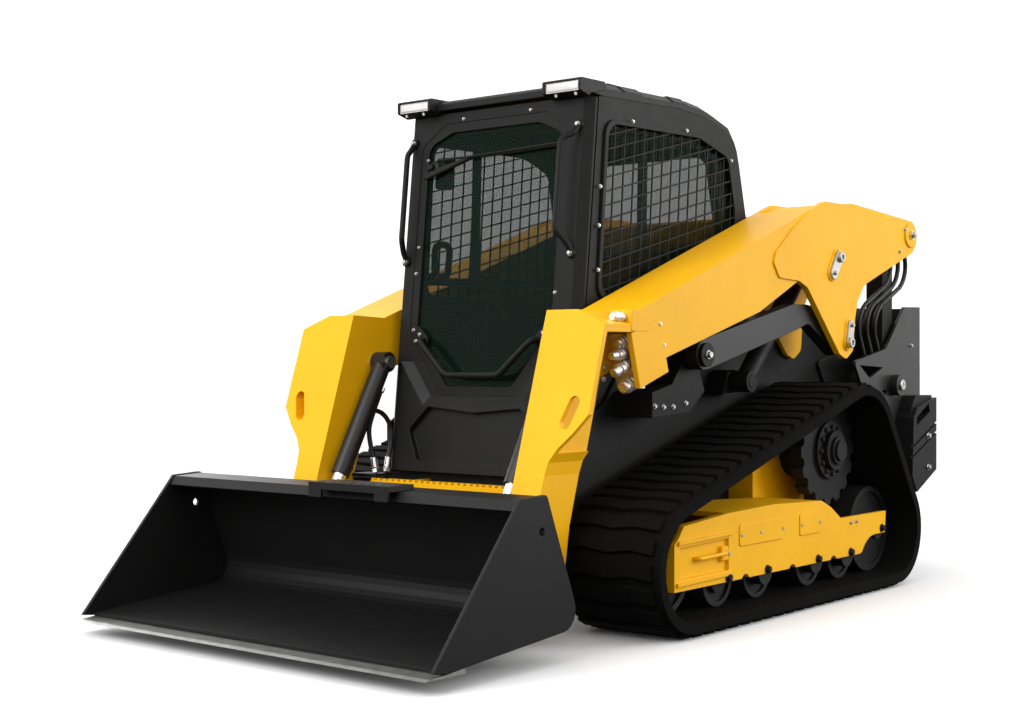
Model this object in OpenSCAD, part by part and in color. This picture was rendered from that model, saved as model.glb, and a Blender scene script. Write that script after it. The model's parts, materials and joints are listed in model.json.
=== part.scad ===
// Compact track loader with vertical lift arms, a closed cab and a general purpose bucket.
// Millimetres. The front is -Y, the operator's left is +X and the ground is z = 0.
// Side outlines are drawn as [y, z], with a corner radius as a third value where one is rounded.

/* [Undercarriage] */
// Width over both tracks
tracks_w = 1980; // [1970:2:1996]
// Width of one belt
belt_w = 450; // [440:2:456]
// Thickness of the belt under its lugs
belt_t = 40; // [36:1:44]
// Height of the lugs
lug_h = 20; // [16:1:24]
// Front idler, place along the machine
idler_front_y = -612; // [-620:2:-604]
// Radius over the lugs at the front idler
idler_front_r = 262; // [258:1:266]
// Rear idler, place along the machine
idler_rear_y = 1098; // [1090:2:1106]
// Radius over the lugs at the rear idler
idler_rear_r = 255; // [250:1:258]
// Drive sprocket, place along the machine
sprocket_y = 786; // [778:2:794]
// Drive sprocket, height
sprocket_z = 627; // [620:1:634]
// Radius over the lugs at the sprocket
sprocket_r = 305; // [300:1:310]
// Height of the track rollers' axles
roller_z = 170; // [164:1:176]
// Number of sprocket teeth
sprocket_teeth = 16; // [12:1:18]

/* [Chassis] */
// Half width over the tub's side plates
tub_half = 498; // [495:1:499]
// Thickness of the tub's plates
tub_t = 14; // [10:1:16]
// Height of the belly plate
belly_z = 240; // [230:5:250]
// Height of the deck that the cab stands on
deck_z = 560; // [556:1:564]
// Height of the engine bay's side plates
bay_z = 1262; // [1240:2:1270]
// Rear end of the towers
tower_rear = 1950; // [1940:2:1956]
// Width of a tower, outside the tub
tower_w = 208; // [204:1:212]
// Thickness of the tower plates
tower_t = 16; // [12:1:18]
// Thickness of a counterweight
weight_t = 94; // [80:2:104]
// Thickness of the rear door
door_t = 40; // [30:1:44]

/* [Cab] */
// Gap from the cab's side to the tub's side
cab_gap = 18; // [17:1:24]
// Thickness of the cab's walls
wall_t = 22; // [16:1:28]
// Lean of the cab's front from upright, degrees
cab_lean = 5.87; // [5.4:0.01:6.2]
// Front of the cab at the deck
cab_front = -722; // [-726:1:-718]
// Rear of the cab
cab_rear = 612; // [606:1:614]
// Thickness of the window panes
glass_t = 6; // [4:1:8]
// Pitch of the upright wires in the side guards
guard_pitch = 69; // [60:1:76]
// Pitch of the sloped wires in the side guards, measured upright
guard_row = 55; // [50:1:64]
// Width of a wire in the side guards
guard_wire = 6; // [5:0.5:8]

/* [Lift arms] */
// Gap from the tub's side to an arm
arm_gap = 7; // [6:1:10]
// Width of an arm
arm_w = 280; // [276:1:285]
// Width of an arm's lower leg
leg_w = 135; // [128:1:140]
// Thickness of the arms' rear plates
arm_t = 20; // [16:1:22]
// Height that the outer rear plates stand out from the arms
plate_rise = 8; // [6:1:10]
// Depth of the legs, front to rear
leg_depth = 210; // [200:2:220]
// Radius of the lift linkage's pins
pin_r = 32; // [28:1:36]
// Clearance of a pin in its bore
pin_fit = 0.3; // [0.2:0.05:0.5]
// Width of a control link
link_w = 58; // [52:1:60]
// Outer radius of the lift barrels
lift_r = 42; // [38:1:43]
// Outer radius of the tilt barrels
tilt_r = 38; // [34:1:40]
// Clearance of a rod in its barrel
rod_fit = 0.5; // [0.4:0.1:0.8]

/* [Bucket] */
// Width of the bucket
bucket_w = 1778; // [1720:2:1800]
// Thickness of the bucket's shell
shell_t = 14; // [10:1:16]
// Thickness of the bucket's side plates
side_t = 14; // [10:1:18]
// Depth of the lip's folded flange
lip_fold = 40; // [30:1:46]

/* [Hidden] */
$fn = 48;

yellow = [0.95, 0.68, 0.05];
black = [0.07, 0.07, 0.08];
rubber = [0.10, 0.10, 0.10];
dark_steel = [0.25, 0.25, 0.27];
chrome = [0.80, 0.80, 0.82];
glass = [0.35, 0.45, 0.45, 0.45];
white = [0.92, 0.92, 0.92];

// Pins of the linkage at rest
tower_pin = [1640, 905];
arm_rear_pin = [1640, 1637];
link_pin = [-170, 1047];
arm_low_pin = [972, 1106];
lift_base = [320, 935];
lift_eye = [875, 1488];
tilt_base = [-764, 1018];
tilt_eye = [-1090, 425];
bucket_pin = [-1030, 205];

// Places across the machine, from the middle
cab_half = tub_half - cab_gap;
tower_half = tub_half + tower_w;
weight_half = tower_half + weight_t;
arm_in = tub_half + arm_gap;
arm_out = arm_in + arm_w;
leg_out = arm_in + leg_w;
plate_out = arm_out + plate_rise;
link_in = arm_in + 187;
lift_x = arm_in + 136;
rear_link_in = arm_in + 85;
rear_link_out = arm_in + 170;
tilt_x = arm_in - 55;
eye_gap = 8;
touch = 0.5;

// Turns of the barrels from upright, from pin to pin
lift_reach = norm(lift_eye - lift_base);
tilt_reach = norm(tilt_eye - tilt_base);

// Three wheels that the belt runs round, each [y, z, radius over the lugs]
wheels = [
    [idler_front_y, idler_front_r, idler_front_r],
    [idler_rear_y, idler_rear_r, idler_rear_r],
    [sprocket_y, sprocket_z, sprocket_r]
];
belt_depth = lug_h + belt_t;
belt_out = tracks_w / 2;
belt_in = belt_out - belt_w;
roller_r = roller_z - belt_depth - touch;
roller_places = [-230, 75, 510, 796];

// The children's [y, z] outline, as a solid from x0 to x1
module across(x0, x1) {
    translate([x0, 0, 0])
        rotate([90, 0, 90])
            linear_extrude(x1 - x0)
                children();
}

// The children's [x, z] outline, as a solid from y0 to y1
module along(y0, y1) {
    translate([0, y1, 0])
        rotate([90, 0, 0])
            linear_extrude(y1 - y0)
                children();
}

// The children and their mirror image on the other side of the machine
module pair() {
    children();
    mirror([1, 0, 0])
        children();
}

// A round bar across the machine at a [y, z] place
module bar(x0, x1, place, r) {
    across(x0, x1)
        translate(place)
            circle(r);
}

// A round bar along the line from one [x, y, z] point to another
module rod(a, b, r) {
    d = b - a;
    translate(a)
        rotate([0, acos(d.z / norm(d)), atan2(d.y, d.x)])
            cylinder(h = norm(d), r = r);
}

// Points of the arc that rounds corner b of a path from a to c
function corner(a, b, c, r, steps = 6) =
    let (
        u = (a - b) / norm(a - b),
        v = (c - b) / norm(c - b),
        half = acos(u * v) / 2,
        centre = b + (u + v) / norm(u + v) * r / sin(half),
        start = b + u * r / tan(half) - centre,
        first = atan2(start.y, start.x),
        turn = sign(cross(b - a, c - b)) * (180 - 2 * half)
    )
    [for (i = [0 : steps]) centre + r * [cos(first + turn * i / steps), sin(first + turn * i / steps)]];

// A closed outline of [y, z, radius] corners, rounded where a radius is given
function rounded(p) =
    let (n = len(p), flat = [for (q = p) [q.x, q.y]])
    [for (i = [0 : n - 1])
        each p[i][2] > 0
            ? corner(flat[(i + n - 1) % n], flat[i], flat[(i + 1) % n], p[i][2])
            : [flat[i]]];

// Left-hand normal of the line from a to b
function left_of(a, b) = let (d = (b - a) / norm(b - a)) [-d.y, d.x];

// The path p moved t to its left, with mitred corners
function beside(p, t) =
    let (n = len(p))
    [for (i = [0 : n - 1])
        let (
            before = left_of(p[max(i - 1, 0)], p[max(i - 1, 0) + 1]),
            after = left_of(p[min(i, n - 2)], p[min(i, n - 2) + 1]),
            mid = before + after
        )
        p[i] + mid * 2 * t / (mid * mid)];

// The closed outline of [y, z, radius] corners moved t to its left
function inset(p, t) =
    let (n = len(p), flat = [for (q = p) [q.x, q.y]])
    [for (i = [0 : n - 1])
        let (
            mid = left_of(flat[(i + n - 1) % n], flat[i]) + left_of(flat[i], flat[(i + 1) % n]),
            moved = flat[i] + mid * 2 * t / (mid * mid)
        )
        [moved.x, moved.y, p[i][2]]];

// Half of a circle's outline from one side of a straight edge to the other
function arc(centre, r, first, last, steps = 8) =
    [for (i = [0 : steps]) let (a = first + (last - first) * i / steps) centre + r * [cos(a), sin(a)]];

// Outline of a slot of half width r between two centres
function slot_shape(a, b, r) =
    let (turn = atan2(b.y - a.y, b.x - a.x))
    concat(arc(b, r, turn - 90, turn + 90), arc(a, r, turn + 90, turn + 270));

// Outline of a plate of thickness t on the left of a path
function plate(p, t) = concat(p, [for (i = [len(p) - 1 : -1 : 0]) beside(p, t)[i]]);

// A flat bar of the given half width between two places, with round ends
module strap(a, b, half) {
    n = left_of(a, b) * half;
    polygon([a + n, a - n, b - n, b + n]);
    translate(a)
        circle(half);
    translate(b)
        circle(half);
}

// Ends of the belt's straight run from wheel a to wheel b
function run(a, b) =
    let (
        d = [b.x - a.x, b.y - a.y],
        u = d / norm(d),
        s = (a.z - b.z) / norm(d),
        n = s * u + sqrt(1 - s * s) * [u.y, -u.x]
    )
    [[a.x, a.y] + a.z * n, [b.x, b.y] + b.z * n];

// Direction of the line from the belt's inside to its outside, on the run from wheel a to wheel b
function run_angle(a, b) = let (d = run(a, b)[0] - [a.x, a.y]) atan2(d.y, d.x);

// Points round the three wheels, a depth below the lugs' tips
function belt_loop(depth, steps = 20) =
    let (w = [for (c = wheels) [c.x, c.y, c.z - depth]])
    [for (i = [0 : 2])
        let (
            first = run_angle(w[(i + 2) % 3], w[i]),
            sweep = (run_angle(w[i], w[(i + 1) % 3]) - first + 360) % 360
        )
        for (k = [0 : steps])
            [w[i].x, w[i].y] + w[i].z * [cos(first + sweep * k / steps), sin(first + sweep * k / steps)]];

// Undercarriage

// Wheels at the belt's surface between its lugs, and the lengths of its three arcs and runs
belt_wheels = [for (c = wheels) [c.x, c.y, c.z - lug_h]];
arc_first = [for (i = [0 : 2]) run_angle(belt_wheels[(i + 2) % 3], belt_wheels[i])];
arc_sweep = [
    for (i = [0 : 2]) (run_angle(belt_wheels[i], belt_wheels[(i + 1) % 3]) - arc_first[i] + 360) % 360
];
arc_l = [for (i = [0 : 2]) belt_wheels[i].z * arc_sweep[i] * PI / 180];
belt_runs = [for (i = [0 : 2]) run(belt_wheels[i], belt_wheels[(i + 1) % 3])];
run_l = [for (r = belt_runs) norm(r[1] - r[0])];
belt_l = arc_l * [1, 1, 1] + run_l * [1, 1, 1];

// Place on the belt's surface at a distance along it: y, z, direction out and whether it is on an arc
function on_belt(s, i = 0) =
    s < arc_l[i]
        ? let (a = arc_first[i] + s / belt_wheels[i].z * 180 / PI)
            [belt_wheels[i].x + belt_wheels[i].z * cos(a),
                belt_wheels[i].y + belt_wheels[i].z * sin(a), a, true]
    : s < arc_l[i] + run_l[i]
        ? let (at = belt_runs[i][0] + (belt_runs[i][1] - belt_runs[i][0]) * (s - arc_l[i]) / run_l[i])
            [at.x, at.y, arc_first[i] + arc_sweep[i], false]
    : on_belt(s - arc_l[i] - run_l[i], i + 1);

lug_pitch = 88;
lug_half = 28;
lug_root = 6;
// Lugs on an arc are lower, so that their flat tops stay inside the belt's outline
lug_arc_drop = 3.5;
// Plain edges of the belt beside the lugs
lug_edge_in = 16;
lug_edge_out = 30;
// Zig-zag of a lug's long sides, from the belt's inner edge to its outer one
lug_zig = [0, 11, -3, 11, 0];

module lug(h) {
    last = len(lug_zig) - 1;
    step = (belt_w - lug_edge_in - lug_edge_out) / last;
    first = belt_in + lug_edge_in;
    translate([0, 0, -lug_root])
        linear_extrude(h + lug_root)
            polygon(concat(
                [for (i = [0 : last]) [first + step * i, lug_zig[i] - lug_half]],
                [for (i = [last : -1 : 0]) [first + step * i, lug_zig[i] + lug_half]]
            ));
}

module track() {
    lugs = round(belt_l / lug_pitch);
    across(belt_in, belt_out)
        difference() {
            polygon(belt_loop(lug_h));
            polygon(belt_loop(belt_depth));
        }
    for (i = [0 : lugs - 1]) {
        at = on_belt(belt_l * (i + 0.5) / lugs);
        translate([0, at[0], at[1]])
            rotate([at[2] - 90, 0, 0])
                lug(at[3] ? lug_h - lug_arc_drop : lug_h);
    }
}

module track_left() {
    color(rubber)
        track();
}

module track_right() {
    color(rubber)
        mirror([1, 0, 0])
            track();
}

frame_in = belt_in + 60;
frame_out = belt_out - 85;
frame_plate = 20;
motor_r = 125;
box_rear = -226;
box_depth = 55;
frame_front = -630;
frame_rear = 1139;
frame_low = 165;
// Scallops between the rollers, their centres along the lower edge
scallops = [-116, 264, 628];
scallop_r = 34;
idler_arch = 152;
// Upper edge of the outer plate, from the rear to the front
frame_top = [
    [frame_rear, 337], [695, 337], [606, 391], [519, 426], [108, 440], [-236, 431], [-565, 406], [-604, 360]
];

module frame_side() {
    polygon(concat(
        [[frame_front, frame_low]],
        [for (y = scallops) each arc([y, frame_low - 18], scallop_r, 148, 32)],
        [[875, frame_low]],
        arc([idler_rear_y - 72, frame_low - 78], idler_arch, 146, 90, 6),
        [[frame_rear - 10, 240]],
        frame_top,
        [[frame_front, 340]]
    ));
}

module track_frame() {
    handle_low = 210;
    handle_high = 334;
    difference() {
        union() {
            across(frame_out - frame_plate, frame_out)
                frame_side();
            // Tensioner's box at the front
            across(frame_out - box_depth, frame_out)
                polygon([[frame_front, frame_low], [box_rear, frame_low], [box_rear, 425], [-565, 399],
                    [-600, 350], [frame_front, 335]]);
        }
        across(frame_out - 14, frame_out + 1)
            polygon([[-592, handle_low], [-244, handle_low], [-244, handle_high], [-592, handle_high - 8]]);
    }
    // Ledges above and below the tensioner's box
    across(frame_out - 5, frame_out + 9)
        polygon([[-612, 338], [box_rear, 346], [box_rear, 360], [-606, 352]]);
    across(frame_out - 5, frame_out + 9)
        polygon([[-618, 184], [box_rear, 190], [box_rear, 202], [-618, 197]]);
    across(frame_in, frame_in + frame_plate)
        frame_side();
    // Cover over the rollers, from the front idler to the rear one
    across(frame_in, frame_out)
        polygon(plate([for (k = [1 : 5]) frame_top[k]], frame_plate));
    // Beams that carry the chassis
    across(tub_half, frame_in)
        polygon([[430, 400], [650, 400], [650, 640], [430, 640]]);
    // Plate that carries the drive motor
    across(frame_in, frame_in + frame_plate)
        difference() {
            polygon([[430, 400], [430, 600], [600, 660], [680, 770], [880, 770], [920, 640],
                [890, 400], [890, 320], [600, 320]]);
            translate([sprocket_y, sprocket_z])
                circle(motor_r + 1);
        }
    across(tub_half, frame_in)
        polygon([[-390, 190], [-260, 190], [-260, 330], [-390, 330]]);
}

module track_frame_left() {
    color(yellow)
        track_frame();
}

module track_frame_right() {
    color(yellow)
        mirror([1, 0, 0])
            track_frame();
}

// Gap between an idler and the belt's flats
idler_fit = 1.5;
sprocket_in = belt_in + 195;
sprocket_w = 60;
hub_out = belt_in + 326;

module sprockets() {
    disc_r = sprocket_r - belt_depth - touch;
    place = [sprocket_y, sprocket_z];
    color(dark_steel)
        pair() {
            across(sprocket_in, sprocket_in + sprocket_w)
                translate(place)
                    difference() {
                        circle(disc_r);
                        for (i = [0 : sprocket_teeth - 1])
                            rotate(360 / sprocket_teeth * (i + 0.5))
                                translate([disc_r, 0])
                                    circle(24);
                    }
            bar(tub_half, sprocket_in + 10, place, motor_r);
            bar(sprocket_in, sprocket_in + sprocket_w + 18, place, 128);
            bar(sprocket_in, hub_out - 26, place, 88);
            bar(sprocket_in, hub_out - 12, place, 62);
            bar(sprocket_in, hub_out, place, 46);
        }
}

wheel_in = belt_in + 150;
wheel_out = belt_in + 300;
dish = 14;
axle_r = 55;

module idler(place, r) {
    difference() {
        bar(wheel_in, wheel_out, place, r);
        bar(wheel_out - dish, wheel_out + 1, place, r - 24);
    }
    bar(frame_in + frame_plate, frame_out - box_depth, place, 45);
}

module roller(y) {
    difference() {
        bar(frame_out - 135, frame_out - 60, [y, roller_z], roller_r);
        bar(frame_out - 60 - dish, frame_out - 59, [y, roller_z], roller_r - 18);
    }
    bar(frame_in + 60, frame_in + 135, [y, roller_z], roller_r);
    // The axle ends at the frame's outer plate, or at the tensioner's box
    end = y - axle_r < box_rear ? box_depth : frame_plate;
    bar(frame_in + frame_plate, frame_out - end, [y, roller_z], axle_r);
}

module rollers() {
    color(dark_steel)
        pair() {
            idler([idler_front_y, idler_front_r], idler_front_r - belt_depth - idler_fit);
            idler([idler_rear_y, idler_rear_r], idler_rear_r - belt_depth - idler_fit);
            bar(wheel_out - 20, frame_out - frame_plate, [idler_rear_y, idler_rear_r], 45);
            for (y = roller_places)
                roller(y);
        }
}

// Chassis

tub_front = -690;
bay_front = 618;
tub_rear = 1920;

module chassis_tub() {
    side = [
        [tub_front, 300], [-620, belly_z], [1600, belly_z], [1760, 353], [tub_rear, 480],
        [tub_rear, bay_z], [640, bay_z], [560, 1060], [-330, 1060], [-500, 860], [tub_front, 760]
    ];
    inner = tub_half - tub_t;
    color(black) {
        pair()
            across(inner, tub_half)
                polygon(side);
        across(-inner, inner)
            polygon(plate([[tub_front, deck_z - tub_t], [tub_front, 300], [-620, belly_z], [1600, belly_z],
                [1760, 353], [tub_rear, 480], [tub_rear, 560]], tub_t));
        across(-inner, inner)
            polygon([[tub_front, deck_z - tub_t], [bay_front, deck_z - tub_t],
                [bay_front, deck_z], [tub_front, deck_z]]);
        across(-inner, inner)
            polygon([[bay_front, belly_z], [bay_front + tub_t, belly_z],
                [bay_front + tub_t, bay_z], [bay_front, bay_z]]);
    }
}

tower_side = [
    [tower_rear, 1296, 0], [tower_rear - 178, 1292, 0], [1562, 1082, 30], [1222, 1020, 20], [1290, 925, 20],
    [1400, 760, 0], [1560, 400, 0], [tower_rear - 206, 353, 0], [tower_rear, 490, 0]
];

boss_out = 44;

module tower() {
    difference() {
        union() {
            across(tub_half, tub_half + tower_t)
                polygon(rounded(tower_side));
            across(tower_half - tower_t, tower_half)
                polygon(rounded(tower_side));
            across(tub_half, tower_half)
                polygon([[tower_rear - tower_t, 490], [tower_rear, 490],
                    [tower_rear, 1290], [tower_rear - tower_t, 1290]]);
            across(tub_half, tower_half)
                polygon([[1560, 400], [tower_rear - 206, 353], [tower_rear - 206, 353 + tower_t],
                    [1560, 400 + tower_t]]);
            bar(tub_half, rear_link_in - eye_gap, tower_pin, 70);
            bar(rear_link_out + eye_gap, tower_half + boss_out, tower_pin, 52);
        }
        // Triangular lightening holes in front of the pin
        across(tower_half - 2 * tower_t, tower_half + tower_t) {
            polygon([[1279, 1002], [1528, 992], [1384, 938]]);
            polygon([[1517, 881], [1586, 881], [1551, 858]]);
        }
    }
    bar(tub_half, tower_half + boss_out + 6, tower_pin, pin_r - 8);
    bar(tub_half, tower_half, tower_pin, pin_r);
}

module rear_tower_left() {
    color(black)
        tower();
}

module rear_tower_right() {
    color(black)
        mirror([1, 0, 0])
            tower();
}

weight_front = tower_rear - 290;
groove_depth = 10;
// Grooves across a counterweight's outer face, one end of each
grooves = [[weight_front, 548], [weight_front, 596]];

module counterweights() {
    rear = tower_rear - 12;
    rise = [tower_rear - weight_front, 118];
    color(black)
        pair()
            difference() {
                union() {
                    across(tower_half, weight_half - 26)
                        polygon([[weight_front + 40, 790], [weight_front + 90, 852], [rear, 852], [rear, 474],
                            [tower_rear - 238, 368], [weight_front - 10, 440]]);
                    across(tower_half, weight_half)
                        polygon([[weight_front + 12, 745], [weight_front + 60, 795], [rear, 840], [rear, 480],
                            [tower_rear - 238, 380], [weight_front - 4, 460]]);
                }
                for (g = grooves)
                    across(weight_half - groove_depth, weight_half + 1)
                        polygon([g - rise * 0.1, g + rise, g + rise + [0, 12], g - rise * 0.1 + [0, 12]]);
                // Hand hold near the top
                across(weight_half - 40, weight_half + 1)
                    polygon([[weight_front + 44, 704], [weight_front + 200, 770], [weight_front + 184, 812],
                        [weight_front + 48, 748]]);
            }
}

module engine_block() {
    color(dark_steel)
        translate([-320, 760, belly_z + tub_t])
            cube([640, 760, 760]);
}

module hood() {
    color(black)
        difference() {
            across(-tub_half, tub_half)
                polygon([[cab_rear + 32, bay_z], [tub_rear, bay_z], [tub_rear, bay_z + 26],
                    [cab_rear + 32, bay_z + 26]]);
            for (i = [0 : 7])
                translate([-300, 900 + 90 * i, bay_z - 1])
                    cube([600, 40, 40]);
        }
}

module front_step() {
    color(yellow)
        difference() {
            union() {
                translate([-400, -890, 510])
                    cube([800, 110, 26]);
                for (i = [0 : 24])
                    translate([-396 + 32 * i, -890, 530])
                        cube([18, 16, 14]);
                pair()
                    translate([250, -785, 440])
                        cube([16, tub_front + 785, 96]);
            }
            for (i = [-7 : 7])
                translate([50 * i, -835, 500])
                    cylinder(h = 50, r = 16);
        }
}

module link_brackets() {
    color(black)
        pair() {
            across(tub_half, link_in - 12)
                polygon([[-440, 800], [-170, 816], [-60, 900], [-110, 1010], [-230, 1010],
                    [-300, 930], [-440, 900]]);
            bar(tub_half, link_in - eye_gap, link_pin, 60);
            bar(tub_half, link_in + link_w + 4, link_pin, pin_r);
            bar(link_in + link_w + 4, link_in + link_w + 16, link_pin, 48);
            across(tub_half, lift_x - lift_r - eye_gap)
                polygon([[230, 885], [410, 885], [370, 975], [270, 975]]);
            bar(tub_half, lift_x - lift_r - eye_gap, lift_base, 50);
            bar(tub_half, lift_x + lift_r, lift_base, pin_r - 4);
        }
}

// Cab

// Height on the leaning front, measured up the panel from the deck
function up_front(z) = (z - deck_z) / cos(cab_lean);

// Front face of the cab at a height
function front_at(z) = cab_front + (z - deck_z) * tan(cab_lean);

// The children's outline on the cab's front, from depth d0 to d1 behind the face
module on_front(d0, d1) {
    translate([0, cab_front, deck_z])
        rotate([90 - cab_lean, 0, 0])
            translate([0, 0, -d1])
                linear_extrude(d1 - d0)
                    children();
}

// The cab's front corners are chamfered, also where the lower panel stands out
corner_cut = 34;
panel_out = 22;

module front_corner(side) {
    far = panel_out + 1;
    translate([0, cab_front, deck_z])
        rotate([90 - cab_lean, 0, 0])
            translate([0, up_front(roof_z), 0])
                rotate([90, 0, 0])
                    linear_extrude(up_front(roof_z))
                        polygon([[side * (cab_half - corner_cut - far), far], [side * (cab_half + far), far],
                            [side * (cab_half + far), -corner_cut - far]]);
}

// Outline of the front door, drawn up the front
function door_shape(grow) = [
    for (p = rounded([
        [-206 - grow, up_front(885) - grow, 40], [206 + grow, up_front(885) - grow, 40],
        [388 + grow, up_front(1150), 60], [388 + grow, up_front(1925), 60],
        [262 + grow, up_front(2011) + grow, 40], [-262 - grow, up_front(2011) + grow, 40],
        [-388 - grow, up_front(1925), 60], [-388 - grow, up_front(1150), 60]
    ])) p
];

frame_t = 46;
panel_top = 1021;
// Gap that lets the leaning panel's rear edge clear the deck
panel_foot = frame_t * tan(cab_lean) + touch;
roof_z = 2062;
// Seam between the walls and the roof, from the front to the rear
roof_line = [
    [front_at(roof_z) + frame_t + 8, roof_z], [58, 2083], [228, 2074], [346, 2054], [436, 2025], [513, 1986]
];
// Rear edge of the cab, from the deck up to the roof
rear_line = [[cab_rear, deck_z], [cab_rear, 1300], [626, 1610], [551, 1896], [533, 1953]];

module cab_floor() {
    color(black)
        translate([wall_t - cab_half, front_at(deck_z) + frame_t + 8, deck_z])
            cube([2 * (cab_half - wall_t), cab_rear - wall_t - cab_front - frame_t - 12, 20]);
}

// Crease where the lower panel rises from the door's surround, from the middle outwards
crease = [[0, up_front(860)], [251, up_front(878)], [363, up_front(panel_top)]];
crease_w = 40;

// All in front of the cab's face that lies on the door's side of the slope along the crease from a to b
module door_side(a, b) {
    d = b - a;
    far = 1000;
    translate([0, cab_front, deck_z])
        rotate([90 - cab_lean, 0, 0])
            translate([a.x, a.y, 0])
                rotate([90, 0, 90 + atan2(d.y, d.x)])
                    translate([0, 0, -far])
                        linear_extrude(2 * far)
                            polygon([[0, 0], [far, 0], [far, 2 * panel_out], [-2 * crease_w, 2 * panel_out]]);
}

module front_panel() {
    recess = rounded([
        [-286, up_front(612), 20], [286, up_front(612), 20],
        [340, up_front(735), 20], [242, up_front(832), 20],
        [0, up_front(810), 0], [-242, up_front(832), 20], [-340, up_front(735), 20]
    ]);
    color(black)
        difference() {
            on_front(-panel_out, frame_t)
                difference() {
                    polygon([[-cab_half, panel_foot], [cab_half, panel_foot],
                        [cab_half, up_front(panel_top)], [-cab_half, up_front(panel_top)]]);
                    polygon(door_shape(5));
                }
            intersection() {
                door_side(crease[0], crease[1]);
                door_side(crease[1], crease[2]);
                mirror([1, 0, 0])
                    door_side(crease[0], crease[1]);
                mirror([1, 0, 0])
                    door_side(crease[1], crease[2]);
            }
            on_front(-panel_out - 1, 4)
                polygon(recess);
            for (side = [-1, 1])
                front_corner(side);
        }
}

module cab_front_frame() {
    color(black)
        difference() {
            on_front(0, frame_t)
                difference() {
                    polygon([[-cab_half, up_front(panel_top)], [cab_half, up_front(panel_top)],
                        [cab_half, up_front(roof_z) - 2], [-cab_half, up_front(roof_z) - 2]]);
                    polygon(door_shape(5));
                }
            for (side = [-1, 1])
                front_corner(side);
        }
}

door_rim = 34;

module front_door() {
    color(black)
        on_front(2, frame_t - 8)
            difference() {
                polygon(door_shape(5));
                polygon(door_shape(-door_rim));
            }
}

module door_glass() {
    color(glass)
        on_front(12, 12 + glass_t)
            polygon(door_shape(-door_rim));
}

side_window = [
    [-478, 1978, 70], [205, 1994, 70], [455, 1930, 60], [512, 1700, 40], [530, 1260, 60], [-539, 1260, 60]
];

module side_wall() {
    color(black)
        across(cab_half - wall_t, cab_half)
            difference() {
                polygon(concat(
                    [[front_at(deck_z) + frame_t + 8, deck_z]],
                    rear_line,
                    [for (i = [len(roof_line) - 1 : -1 : 0]) roof_line[i]]
                ));
                polygon(rounded(side_window));
            }
}

module cab_left_wall() {
    side_wall();
}

module cab_right_wall() {
    mirror([1, 0, 0])
        side_wall();
}

rear_window_low = 1310;
rear_window_high = 1530;

module cab_rear_wall() {
    inner = cab_half - wall_t;
    color(black)
        difference() {
            across(-inner, inner)
                polygon(plate(rear_line, wall_t));
            along(cab_rear - 100, cab_rear + 100)
                polygon([[-350, rear_window_low], [350, rear_window_low],
                    [350, rear_window_high], [-350, rear_window_high]]);
        }
}

// Lamps in pods at the roof's front corners
pod_in = 296;
pod_out = cab_half + 2;
pod_front = front_at(roof_z) - 74;
pod_low = 2054;
pod_high = 2122;
lamp_in = pod_in + 14;
lamp_out = pod_out - 10;
lamp_low = 2070;
lamp_high = 2110;
lamp_back = pod_front + 40;

// Crown of the roof, from the front to the rear, and the drop and inset of its chamfered edge
roof_front = front_at(roof_z) - 20;
crown = [
    [roof_front, 2098], [roof_front + 20, 2112], [-430, 2122], [64, 2131], [162, 2132], [263, 2123],
    [366, 2100], [457, 2074], [513, 1990]
];
edge_drop = 26;
edge_inset = 34;
roof_bands = [[-337, -208], [19, 123]];

module roof_cap() {
    hull() {
        across(-cab_half, cab_half)
            polygon([for (c = crown) c - [0, c.x < 500 ? edge_drop : 2]]);
        across(edge_inset - cab_half, cab_half - edge_inset)
            polygon(crown);
    }
}

module cab_roof() {
    color(black) {
        intersection() {
            union() {
                roof_cap();
                intersection() {
                    translate([0, 0, 6])
                        roof_cap();
                    for (b = roof_bands)
                        translate([-cab_half, b[0], roof_z])
                            cube([2 * cab_half, b[1] - b[0], 100]);
                }
            }
            across(-cab_half, cab_half)
                polygon(concat(
                    [[roof_front, roof_z]], roof_line,
                    [[540, 1986], [540, 2200], [roof_front, 2200]]
                ));
        }
        // Raised panel with a step at each end
        across(-390, 390)
            polygon([[-400, 2110], [170, 2110], [190, 2126], [60, 2142], [-330, 2148]]);
        pair()
            difference() {
                across(pod_in, pod_out)
                    polygon([[pod_front, pod_low + 16], [roof_front + 8, pod_low],
                        [roof_front + 12, roof_z + 2], [roof_front + 120, 2092],
                        [roof_front + 110, pod_high], [pod_front + 8, pod_high - 2],
                        [pod_front, pod_high - 8]]);
                across(lamp_in - touch, lamp_out + touch)
                    polygon([[pod_front - 1, lamp_low - touch], [lamp_back, lamp_low - touch],
                        [lamp_back, lamp_high + touch], [pod_front - 1, lamp_high + touch]]);
            }
    }
}

module cab_windows() {
    mid = cab_half - wall_t / 2;
    color(glass) {
        pair()
            across(mid - glass_t / 2, mid + glass_t / 2)
                polygon(rounded(side_window));
        translate([-350, cab_rear - wall_t / 2 - glass_t / 2, rear_window_low])
            cube([700, glass_t, rear_window_high - rear_window_low]);
    }
}

guard_t = 12;
guard_rim = 18;
// The two layers of wire, each this thick, sink into one another
wire_t = 5;
wire_sink = 1.5;
guard_low = 1260;

// Lean of the upright wires and slope of the others, which rise to the rear
wire_lean = 0.07;
wire_slope = 0.25;

// Strips through a point at a run of places, each going a distance along the machine and up
module wires(places, go) {
    for (a = places)
        polygon([a, a + go, a + go + (go.y > go.x ? [guard_wire, 0] : [0, guard_wire]),
            a + (go.y > go.x ? [guard_wire, 0] : [0, guard_wire])]);
}

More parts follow.
